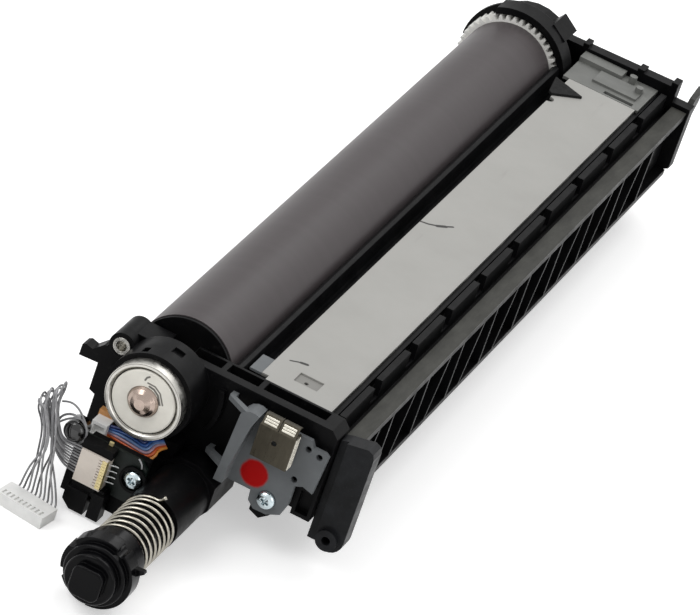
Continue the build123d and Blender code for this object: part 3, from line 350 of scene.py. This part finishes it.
def loose_points(index):
    """The points of one loose wire, in metres."""
    points = fan(harness_route, wire_count, index)
    crossed = fan(harness_route, wire_count, crossed_order[index])
    for i in crossing_stations:
        points[i] = crossed[i]
    for i in free_stations:
        x, y, z = points[i]
        lift = loop_lift[index] if i in loop_stations else 0.0
        bulge = stray_bulge if index == stray_wire and i in stray_stations else 0.0
        x += MM * (sway * math.sin(sway_x_step[0] * index + sway_x_step[1] * i) + bulge)
        z += MM * (sway * math.cos(sway_z_step[0] * index + sway_z_step[1] * i) + lift)
        points[i] = (x, y + wire_layer[index % 3] * MM, z)
    return points


def wire_grey(number, level):
    """One of the greys of the loose wires."""
    color = linear(level, level, level + 2)
    return shade(f"wire_grey_{number}", color, 0.42, patch=300, spread=0.2, specular=0.4, edge=0)


wire_levels = (140, 108, 158)
wire_greys = [wire_grey(number, level) for number, level in enumerate(wire_levels)]
for index in range(wire_count):
    points = loose_points(index)
    wire = strand(f"harness_wire_{index}", points, wire_radius * MM)
    wire.data.materials.append(wire_greys[index % 3])
    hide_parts("harness_wires")
    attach(wire, "frame")
    spline_length(wire)


def fixed_strand(name, points, radius, material):
    """A short fixed wire that rides on the frame, from points in millimetres."""
    wire = strand(name, [tuple(mm(*point)) for point in points], radius * MM)
    wire.data.materials.append(material)
    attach(wire, "frame")
    return wire


ribbon_wire_radius = 0.62
ribbon_colors = [
    (226, 150, 70),
    (206, 92, 44),
    (184, 150, 164),
    (112, 142, 192),
    (42, 84, 154),
    (24, 42, 96),
]
for index, color in enumerate(ribbon_colors):
    points = [tuple(c / MM for c in point) for point in fan(ribbon_route, len(ribbon_colors), index)]
    sleeve = shade(f"ribbon_color_{index}", linear(*color), 0.34, patch=300, spread=0.15, edge=0)
    wire = fixed_strand(f"ribbon_wire_{index}", points, ribbon_wire_radius, sleeve)
    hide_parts("ribbon")

# Loose ends of the tie round the clip, and a short pale wire on the board
tie_end_high = [
    (-26.5, -10.6, -8.9),
    (-23.9, -10.3, -7.7),
    (-20.7, -10.0, -8.3),
    (-17.7, -9.8, -10.8),
    (-14.8, -9.6, -14.6),
]
tie_end_low = [
    (-25.1, -10.6, -17.6),
    (-23.2, -10.3, -15.4),
    (-20.0, -10.0, -13.3),
    (-16.5, -9.8, -12.4),
    (-14.4, -9.6, -15.6),
]
board_wire = [(8.2, -8.6, -17.7), (9.5, -9.0, -18.4), (10.3, -8.8, -19.8), (10.3, -8.4, -21.1)]
fixed_strand("tie_end_high", tie_end_high, wire_radius, wire_greys[0])
fixed_strand("tie_end_low", tie_end_low, wire_radius, wire_greys[0])
fixed_strand("board_wire", board_wire, 0.32, wire_greys[2])


# Finishes of the CAD nodes, with places and sizes in millimetres

def plate_shade_and_scuffs(g, tone):
    """Painted shade along two crease lines in the sheet and on every face lower than its top, and faint
    handling marks.
    """
    height = 10
    long_crease = [
        (28.9, 201.7, height),
        (32.4, 202.6, height),
        (36.8, 205.2, height),
        (40.7, 209.3, height),
    ]
    long_head = [(35.6, 204.3, height), (38.4, 206.8, height)]
    short_crease = [(33.6, 58.5, height), (36.4, 60.2, height), (39.4, 61.1, height)]
    short_head = [(37.4, 60.6, height), (39.6, 61.2, height)]
    # Painted shade: near-black strokes stand for the shade along two crease lines.
    crease_shade = g.highest([
        g.stroke(long_crease, 0.4, 0.3),
        g.stroke(long_head, 0.7, 0.4),
        g.stroke(short_crease, 0.3, 0.3),
        g.stroke(short_head, 0.65, 0.3),
    ])
    tone = g.mix(crease_shade, tone, (0.012, 0.011, 0.01, 1))
    # Painted shade: every face lower than the plate's top, the recess among them, is made darker.
    shade_below_top = g.ramp(g.coordinate("Z"), 9.35 * MM, 9.55 * MM, 0.55, 0.0)
    tone = g.mix(shade_below_top, tone, linear(92, 90, 86))
    scuffs = g.ramp(g.noise(120, 5.0, (1, 0.15, 1), shift=(0.2, 0, 0)), 0.66, 0.74)
    return g.mix(g.math("MULTIPLY", scuffs, 0.25), tone, (0.2, 0.19, 0.18, 1))


def red_mark(g, tone):
    """Round red paint mark with a soft, uneven edge."""
    unevenness = g.math("MULTIPLY", g.noise(420, 3.0), 0.9 * MM)
    ragged = g.math("ADD", g.from_axis(45.0, -17.0), unevenness)
    mask = g.ramp(ragged, 5.4 * MM, 6.8 * MM, 1.0, 0.0, smooth=True)
    return g.mix(mask, tone, linear(166, 0, 0))


def disc_marks(g, tone):
    """A tick and a double arc on the bearing's end disc."""
    y = 0.2
    marks = g.highest([
        g.stroke([(-1.8, y, 8.9), (-1.4, y, 10.2), (-0.5, y, 11.0)], 0.2, 0.3),
        g.stroke([(-0.4, y, 8.3), (2.7, y, 8.2), (5.4, y, 6.4), (7.6, y, 2.4)], 0.16, 0.3),
        g.stroke([(0.6, y, 7.2), (2.6, y, 6.9), (4.8, y, 5.3), (6.5, y, 2.0)], 0.26, 0.3),
    ])
    return g.mix(g.math("MULTIPLY", marks, 0.9), tone, linear(38, 32, 26))


def dome_stain(g, tone):
    """Brown stain low on the shaft's dome."""
    stain = g.ramp(g.from_axis(1.7, -5.0), 0.4 * MM, 1.3 * MM, 0.85, 0.0)
    return g.mix(stain, tone, linear(60, 38, 26))


def race_rings(g, tone):
    """Thin darker rings on the face of the bearing's outer race."""
    radius = g.from_axis(0, 0)
    for middle in (12.0, 13.7, 15.2):
        gap = g.math("ABSOLUTE", g.math("SUBTRACT", radius, middle * MM))
        tone = g.mix(g.ramp(gap, 0.08 * MM, 0.2 * MM, 0.75, 0.0), tone, linear(88, 84, 78))
    return tone


def worn_rail(g, tone):
    """The case's side rail is greyer and scuffed, the rest plain black."""
    side = g.ramp(g.coordinate("X"), 69.0 * MM, 69.6 * MM)
    top = g.ramp(g.coordinate("Z"), 5.0 * MM, 5.6 * MM)
    scuff = g.ramp(g.noise(160, 5.0, (1, 0.3, 1), roughness=0.7), 0.3, 0.7, 0.55, 1.0)
    worn = g.math("MULTIPLY", g.math("MULTIPLY", side, top), scuff)
    return g.mix(worn, tone, linear(74, 74, 70))


def drum_painted_sheen(g, tone):
    """Faint paler rings round the drum, a painted sheen."""
    rings = g.ramp(g.noise(30, 3.0, (0.05, 6, 0.05)), 0.4, 0.7)
    # Painted sheen: paler bands mixed in round the drum.
    return g.mix(g.math("MULTIPLY", rings, 0.18), tone, linear(86, 80, 82))


near_black = linear(9, 9, 10)
dark = dict(spread=0.3, patch=45, specular=0.07, bump=0.25, dust=0.02, edge=0.4)
bright_steel = linear(196, 194, 188)
black = shade("black_plastic", near_black, 0.4, **dark)
screw_zinc = shade("screw_zinc", linear(192, 204, 208), 0.22, 1.0, spread=0.15, patch=300, bump=0.08)
spring_steel = shade("spring_steel", linear(160, 156, 146), 0.2, 1.0, spread=0.15, patch=200, bump=0.05)

# One material for each material slot of the record
finishes = {
    # The drum's coating carries a painted sheen of paler rings.
    "drum_coating": shade(
        "drum_coating", linear(70, 65, 66), 0.42, spread=0.05, patch=12, stretch=(1, 0.3, 1), bump=0.02,
        rough_spread=0.04, specular=0.22, finish=drum_painted_sheen),
    "black_plastic": black,
    "rail_plastic": shade(
        "rail_plastic", linear(40, 40, 38), 0.46, spread=0.25, patch=90, specular=0.25, bump=0.25,
        dust=0.12),
    "white_plastic": shade("white_nylon", linear(222, 221, 217), 0.45, spread=0.06, patch=90, bump=0.1),
    # The cover plate carries painted shade along crease lines and on the faces below its top.
    "cover_grey": shade(
        "cover_grey", linear(161, 160, 156), 0.5, spread=0.03, patch=25, bump=0.06, specular=0.35,
        finish=plate_shade_and_scuffs),
    "bracket_grey": shade(
        "bracket_grey", linear(104, 107, 109), 0.5, spread=0.1, patch=70, bump=0.15, specular=0.15,
        finish=red_mark),
    "plate_grey": shade(
        "plate_grey", linear(106, 107, 104), 0.5, spread=0.1, patch=60, bump=0.15, specular=0.35),
    "steel": shade(
        "steel", bright_steel, 0.24, 1.0, spread=0.1, patch=150, stretch=(1, 8, 1), bump=0.05),
    "spring_steel": spring_steel,
    "sheet_steel": shade(
        "sheet_steel", linear(76, 72, 63), 0.34, 1.0, spread=0.08, patch=120, stretch=(6, 1, 1), bump=0.05),
    "bearing_cream": shade(
        "bearing_cream", linear(236, 233, 223), 0.4, spread=0.05, patch=120, bump=0.08, finish=disc_marks),
    "rubber_black": shade("rubber_black", linear(20, 20, 21), 0.6, spread=0.3, patch=90, specular=0.3),
    "foam": shade(
        "foam", linear(22, 22, 22), 0.8, spread=0.4, patch=500, bump=0.6, depth=0.0002, specular=0.2),
    "roller_sleeve": shade("roller_sleeve", linear(150, 150, 152), 0.4, 1.0, spread=0.1, patch=200),
    "board_green": shade("board_green", linear(13, 21, 18), 0.4, spread=0.3, patch=300, specular=0.2),
    "connector_cream": shade("connector_cream", linear(222, 212, 201), 0.4, spread=0.05, patch=160),
    "connector_white": shade("connector_white", linear(240, 240, 238), 0.4, spread=0.05, patch=160),
    "pin_gold": shade("pin_gold", linear(206, 184, 128), 0.25, 1.0, spread=0.15, patch=400),
    "wafer_tan": shade("wafer_tan", linear(196, 142, 88), 0.4, spread=0.15, patch=300),
    "wire_grey": wire_greys[0],
    "wire_colour": wire_greys[1],
    "screw_zinc": screw_zinc,
}

# Nodes with a finish of their own
own_finishes = {
    "developer_case": shade("black_case", near_black, 0.4, finish=worn_rail, **dark),
    "guide_arm": shade(
        "arm_plastic", linear(23, 24, 26), 0.4, spread=0.45, patch=120, stretch=(1, 0.4, 1), specular=0.12,
        bump=0.25, dust=0.05, edge=0.4),
    "shutter_cap": shade(
        "black_gloss", linear(9, 9, 11), 0.2, spread=0.3, patch=60, specular=0.09, bump=0.1, edge=0.5),
    "bearing_outer_race": shade(
        "race_steel", bright_steel, 0.32, 1.0, spread=0.06, patch=150, bump=0.02, edge=0.15,
        finish=race_rings),
    "drum_shaft": shade(
        "dome_steel", linear(168, 152, 142), 0.2, 1.0, spread=0.1, patch=150, bump=0.03, finish=dome_stain),
}
for row in frame["record"]["subparts"]:
    material = own_finishes.get(row["node"], finishes[row["material_slot"]])
    for slot in nodes[row["node"]].material_slots:
        slot.material = material


# Helpers for mesh pieces, with places and sizes in millimetres

def add_box(mesh, low, high, turn=None):
    """A box in a bmesh, turned about the X axis at its middle."""
    made = bmesh.ops.create_cube(mesh, size=1.0)["verts"]
    low, high = mm(*low), mm(*high)
    place = Matrix.Translation((low + high) / 2)
    if turn:
        place = place @ Matrix.Rotation(turn, 4, "X")
    bmesh.ops.transform(mesh, matrix=place @ Matrix.Diagonal((*(high - low), 1.0)), verts=made)


def bridge(mesh, rows):
    """Faces between rows of vertices, with a closed end at the first and the last row."""
    for near, far in zip(rows, rows[1:]):
        for i in range(len(near)):
            j = (i + 1) % len(near)
            mesh.faces.new((near[i], near[j], far[j], far[i]))
    mesh.faces.new(rows[0])
    mesh.faces.new(rows[-1])
    bmesh.ops.recalc_face_normals(mesh, faces=mesh.faces)


def lathe(profile):
    """A closed solid of revolution about the Y axis, from (radius, y) points."""
    mesh = bmesh.new()
    ring = [mesh.verts.new(mm(x, y, 0)) for x, y in profile]
    edges = [mesh.edges.new(pair) for pair in zip(ring, ring[1:])]
    bmesh.ops.spin(mesh, geom=ring + edges, cent=(0, 0, 0), axis=(0, 1, 0), angle=math.tau, steps=40,
                   use_duplicate=False)
    bmesh.ops.remove_doubles(mesh, verts=mesh.verts, dist=1e-6)
    bmesh.ops.recalc_face_normals(mesh, faces=mesh.faces)
    return mesh


def mesh_object(name, mesh, smooth):
    """The bmesh as an object, with smooth or flat faces."""
    data = bpy.data.meshes.new(name)
    mesh.to_mesh(data)
    mesh.free()
    if smooth:
        for face in data.polygons:
            face.use_smooth = True
    return add_object(name, data)


def finished(name, mesh, material, edge_width=0.0, smooth=False):
    """The bmesh as a piece that rides on the frame, its edges rounded by edge_width."""
    piece = mesh_object(name, mesh, smooth)
    piece.data.materials.append(material)
    if edge_width:
        edge = piece.modifiers.new("edge", "BEVEL")
        edge.width = edge_width * MM
        edge.segments = 2
        edge.limit_method = "ANGLE"
    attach(piece, "frame")
    return piece


# Pressed ridges on the terminal box's two leaves and on its side

leaf_lefts = (42.6, 50.0)
leaf_foot_y, leaf_foot_z = 12.0, 7.4
leaf_run, leaf_rise = 2.6, 4.0
leaf_lean = math.atan2(leaf_rise, leaf_run)
ridges = bmesh.new()
for left in leaf_lefts:
    for share in (0.28, 0.5, 0.72):
        y = leaf_foot_y + leaf_run * share
        z = leaf_foot_z + leaf_rise * share
        add_box(ridges, (left + 0.8, y - 0.45, z - 0.3), (left + 6.2, y + 0.45, z + 0.35), leaf_lean)
for y in (13.0, 14.2, 15.4, 16.6):
    add_box(ridges, (57.2, y - 0.3, -6.4), (57.75, y + 0.3, 7.0))
# Painted highlight: the pressed ridges take a far paler copy of the sheet metal.
painted_highlight_sheet = shade("painted_highlight_sheet", linear(214, 210, 198), 0.22, 1.0, spread=0.08, patch=200, bump=0.05)
finished("terminal_ridges", ridges, painted_highlight_sheet, 0.15)


# Header contacts: gold tabs round the right edge of the front face, with tinned tails on the board

header_low, header_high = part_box("board_header")
header_middle = (header_low.z + header_high.z) / 2 / MM
header_right = header_high.x / MM
header_front = header_low.y / MM
board_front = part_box("circuit_board")[0].y / MM
ways = 10
way_pitch = 1.25
tab_half_height = 0.58
tab_proud = 0.25
tail_ways = (1, 3, 5, 7)
tail_radius = 0.32


def way_z(way):
    """Height of one of the header's ways."""
    return header_middle + way_pitch * (way - (ways - 1) / 2)


contacts = bmesh.new()
tab_front, tab_right = header_front - tab_proud, header_right + tab_proud
for way in range(ways):
    z0, z1 = way_z(way) - tab_half_height, way_z(way) + tab_half_height
    add_box(contacts, (header_right - 2.1, tab_front, z0), (tab_right, header_front + 0.1, z1))
    add_box(contacts, (header_right - 0.1, tab_front, z0), (tab_right, header_front + 1.6, z1))
contact_gold = shade(
    "contact_gold", linear(212, 196, 146), 0.4, 0.6, spread=0.08, patch=200, bump=0.05, edge=0)
contact_piece = finished("header_contacts", contacts, contact_gold, 0.06)
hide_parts("header_pins")

tinned = shade("tinned", linear(170, 172, 172), 0.3, 1.0, spread=0.2, patch=400, bump=0.1, edge=0)
for number, way in enumerate(tail_ways):
    z = way_z(way)
    tail = [
        (header_right - 0.1, board_front - 1.6, z),
        (header_right + 0.9, board_front - 1.2, z),
        (header_right + 1.6, board_front - 0.5, z - 0.1),
        (header_right + 3.0, board_front - 0.3, z - 0.2),
    ]
    wire = fixed_strand(f"header_tail_{number}", tail, tail_radius, tinned)
    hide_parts("header_pins")


# Pan-head screws with a cross recess

screw_places = {"board_screw": (8.5, -8.0, -27.2), "bracket_screw": (52.8, 18.0, -25.0)}
screw_turn = math.radians(20)
head_radius = 3.8
head_height = 2.3
shank_radius = 1.4
shank_length = 7.0
cross_half_length = 2.1
cross_half_width = 0.5
cross_front = -3.0
cross_floor = -0.8


def screw_mesh():
    """A pan-head screw, its seat at zero and its head towards -Y."""
    return lathe([
        (0, -head_height),
        (head_radius * 0.55, -head_height * 0.96),
        (head_radius * 0.84, -head_height * 0.72),
        (head_radius * 0.98, -head_height * 0.34),
        (head_radius, 0),
        (shank_radius, 0),
        (shank_radius, shank_length),
        (0, shank_length),
    ])


def cross_mesh():
    """A cross that narrows towards its floor, to be cut out of a screw's head."""
    mesh = bmesh.new()
    ends = [
        (cross_front, cross_half_length, cross_half_width),
        (cross_floor, cross_half_length * 0.5, cross_half_width * 0.6),
    ]
    rows = []
    for y, length, width in ends:
        corners = []
        for quarter in range(4):
            c, s = math.cos(quarter * math.pi / 2), math.sin(quarter * math.pi / 2)
            for along, across in ((width, width), (length, width), (length, -width)):
                corners.append(mesh.verts.new(mm(along * c - across * s, y, along * s + across * c)))
        rows.append(sorted(corners, key=lambda v: math.atan2(v.co.z, v.co.x)))
    bridge(mesh, rows)
    return mesh


def cut_out(piece, cutter):
    """Cuts the cutter out of a piece's mesh for good, and removes the cutter."""
    cut = piece.modifiers.new("cut", "BOOLEAN")
    cut.operation = "DIFFERENCE"
    cut.object = cutter
    bpy.context.view_layer.update()
    evaluated = piece.evaluated_get(bpy.context.evaluated_depsgraph_get())
    result = bpy.data.meshes.new_from_object(evaluated)
    piece.modifiers.clear()
    piece.data = result
    bpy.data.objects.remove(cutter)


for name, place in screw_places.items():
    screw = mesh_object(name, screw_mesh(), smooth=True)
    cut_out(screw, mesh_object("cutter", cross_mesh(), smooth=False))
    screw.data.materials.clear()
    screw.data.materials.append(screw_zinc)
    screw.data.transform(Matrix.Translation(mm(*place)) @ Matrix.Rotation(screw_turn, 4, "Y"))
    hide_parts("fixing_screws")
    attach(screw, "frame")


# Domed front of the wire clip, with its foot

clip_low, clip_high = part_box("wire_clip")
clip_radius = (clip_high.z - clip_low.z) / 2 / MM
clip_depth = (clip_high.y - clip_low.y) / MM
clip_centre = (clip_low.x + clip_radius * MM, clip_low.y, (clip_low.z + clip_high.z) / 2)
clip_dome_height = 2.2
clip_profile = []
for degrees in (90, 72, 54, 36, 18, 0):
    a = math.radians(degrees)
    clip_profile.append((clip_radius * math.cos(a), -clip_dome_height * math.sin(a)))
clip_profile += [(clip_radius, clip_depth), (0, clip_depth)]
clip_mesh = lathe(clip_profile)
bmesh.ops.translate(clip_mesh, vec=clip_centre, verts=clip_mesh.verts)
add_box(clip_mesh, (-18.6, -8.0, -20.6), (-14.0, -6.4, -16.6))
clip_gloss = shade(
    "clip_gloss", linear(10, 10, 11), 0.1, spread=0.3, patch=60, specular=0.7, bump=0.02, edge=0)
clip_piece = finished("clip_dome", clip_mesh, clip_gloss, smooth=True)
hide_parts("wire_clip")


# Thin rim that carries the hood on round the drum gear, lower at its far end

gear_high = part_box("drum_gear")[1]
gear_tip = gear_high.z / MM
rim_y0 = gear_high.y / MM + 0.4
rim_y1 = rim_y0 + 2.4
rim_start, rim_end = 112, 176
rim_inner = gear_tip - 1.6
rim_steps = 18
rim_mesh = bmesh.new()
rim_rows = []
for step in range(rim_steps + 1):
    share = step / rim_steps
    angle = math.radians(rim_start + (rim_end - rim_start) * share)
    outer = gear_tip + 2.6 - 1.2 * share
    c, s = math.cos(angle), math.sin(angle)
    section = [(rim_inner, rim_y0), (outer, rim_y0), (outer, rim_y1), (rim_inner, rim_y1)]
    rim_rows.append([rim_mesh.verts.new(mm(r * c, y, r * s)) for r, y in section])
bridge(rim_mesh, rim_rows)
finished("hood_rim", rim_mesh, black, 0.2)


# Shutter spring, a fixed coil with closed turns at both ends and a tail reaching out at its rear

def tube(points, radius, sides=10):
    """A round wire along points that mostly run across the Y axis, closed at both ends."""
    mesh = bmesh.new()
    points = [Vector(point) for point in points]
    axis = Vector((0, 1, 0))
    turns = [math.tau * side / sides for side in range(sides)]
    rows = []
    for i, point in enumerate(points):
        along = (points[min(i + 1, len(points) - 1)] - points[max(i - 1, 0)]).normalized()
        first = (axis - along * axis.dot(along)).normalized()
        second = along.cross(first)
        offsets = [radius * (first * math.cos(t) + second * math.sin(t)) for t in turns]
        rows.append([mesh.verts.new(mm(*(point + offset))) for offset in offsets])
    bridge(mesh, rows)
    return mesh


spring_low, spring_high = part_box("shutter_spring")
spring_wire = 0.7
spring_turns = 8
closed_turn = 0.5
spring_end_angle = math.radians(84)
steps_per_turn = 36
spring_x = (spring_low.x + spring_high.x) / 2 / MM
spring_z = (spring_low.z + spring_high.z) / 2 / MM
spring_radius = (spring_high.z - spring_low.z) / 2 / MM - spring_wire
spring_front = spring_low.y / MM + spring_wire
spring_rear = spring_high.y / MM - spring_wire
open_turns = spring_turns - 2 * closed_turn
closed_pitch = 2 * spring_wire + 0.1
open_pitch = (spring_rear - spring_front - 2 * closed_turn * closed_pitch) / open_turns


def on_spring(radius, y, angle):
    """A point at a distance and an angle round the spring's axis."""
    return (spring_x + radius * math.cos(angle), y, spring_z + radius * math.sin(angle))


coil = []
for step in range(spring_turns * steps_per_turn + 1):
    turn = step / steps_per_turn
    open_part = min(max(turn - closed_turn, 0.0), open_turns)
    y = spring_front + open_part * open_pitch + (turn - open_part) * closed_pitch
    coil.append(on_spring(spring_radius, y, spring_end_angle + math.tau * (spring_turns - turn)))
for reach in (1.1, 2.2, 3.2):
    angle = spring_end_angle - 0.06 - 0.03 * reach
    coil.append(on_spring(spring_radius + reach, spring_rear, angle))
spring_piece = finished("spring_coil", tube(coil, spring_wire), spring_steel, smooth=True)
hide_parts("shutter_spring")
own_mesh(spring_piece)


# Black boss ring round the board screw, and a small gold tab above the header

boss_inner, boss_outer, boss_height = 4.3, 5.5, 1.3
boss_x, _, boss_z = screw_places["board_screw"]
boss_front = board_front - boss_height
boss_ring = lathe([
    (boss_inner, board_front),
    (boss_outer, board_front),
    (boss_outer, boss_front),
    (boss_inner, boss_front),
    (boss_inner, board_front),
])
bmesh.ops.translate(boss_ring, vec=mm(boss_x, 0, boss_z), verts=boss_ring.verts)
finished("screw_boss", boss_ring, black, 0.15)

tab_mesh = bmesh.new()
add_box(tab_mesh, (-4.6, board_front - 1.0, -21.0), (-2.9, board_front, -16.4))
finished("test_tab", tab_mesh, contact_gold, 0.1)


# Floor, which keeps the object's shadow and is white behind it

floor_reach = 6.0
floor_glow = 0.45
floor_corners = [
    (-floor_reach, -floor_reach, 0),
    (floor_reach, -floor_reach, 0),
    (floor_reach, floor_reach, 0),
    (-floor_reach, floor_reach, 0),
]
floor_mesh = bpy.data.meshes.new("floor")
floor_mesh.from_pydata(floor_corners, [], [(0, 1, 2, 3)])
floor = add_object("floor", floor_mesh)
floor.location = (0, 0, cad_low.z)
g = Graph("floor")
g.shader.inputs["Base Color"].default_value = (0.86, 0.86, 0.86, 1)
g.shader.inputs["Roughness"].default_value = 0.9
g.shader.inputs["Specular IOR Level"].default_value = 0.0
rays = g.node("ShaderNodeLightPath")
seen = g.math("MAXIMUM", rays.outputs["Is Camera Ray"], rays.outputs["Is Glossy Ray"])
g.shader.inputs["Emission Color"].default_value = (1, 1, 1, 1)
g.feed(g.shader.inputs["Emission Strength"], g.math("MULTIPLY", seen, floor_glow))
floor_mesh.materials.append(g.material)


# World, white where it is seen and dimmer where it lights the object

world_light = 0.38
world_seen = 1.0
world = bpy.data.worlds.new("studio")
bpy.context.scene.world = world
world.use_nodes = True
tree = world.node_tree
sky = tree.nodes["Background"]
rays = tree.nodes.new("ShaderNodeLightPath")
seen = tree.nodes.new("ShaderNodeMath")
seen.operation = "MAXIMUM"
tree.links.new(rays.outputs["Is Camera Ray"], seen.inputs[0])
tree.links.new(rays.outputs["Is Glossy Ray"], seen.inputs[1])
level = tree.nodes.new("ShaderNodeMapRange")
tree.links.new(seen.outputs[0], level.inputs["Value"])
level.inputs["To Min"].default_value = world_light
level.inputs["To Max"].default_value = world_seen
tree.links.new(level.outputs["Result"], sky.inputs["Strength"])
sky.inputs["Color"].default_value = (1, 1, 1, 1)


# Lamps

lamp_target = Vector((0.025, 0.18, 0.0))


def soft_light(name, place, width, power):
    """A square lamp that faces the object, in metres and watts."""
    data = bpy.data.lights.new(name, "AREA")
    data.shape = "RECTANGLE"
    data.size = width
    data.size_y = width
    data.energy = power
    lamp = add_object(name, data)
    lamp.location = place
    lamp.rotation_mode = "QUATERNION"
    lamp.rotation_quaternion = (lamp_target - Vector(place)).to_track_quat("-Z", "Y")


soft_light("key", (-0.9, -0.7, 1.3), 1.1, 14)
soft_light("top", (0.2, 0.9, 1.3), 1.2, 12)
soft_light("side", (1.4, -0.6, 0.6), 0.9, 5)

bpy.context.scene.view_settings.view_transform = "Standard"
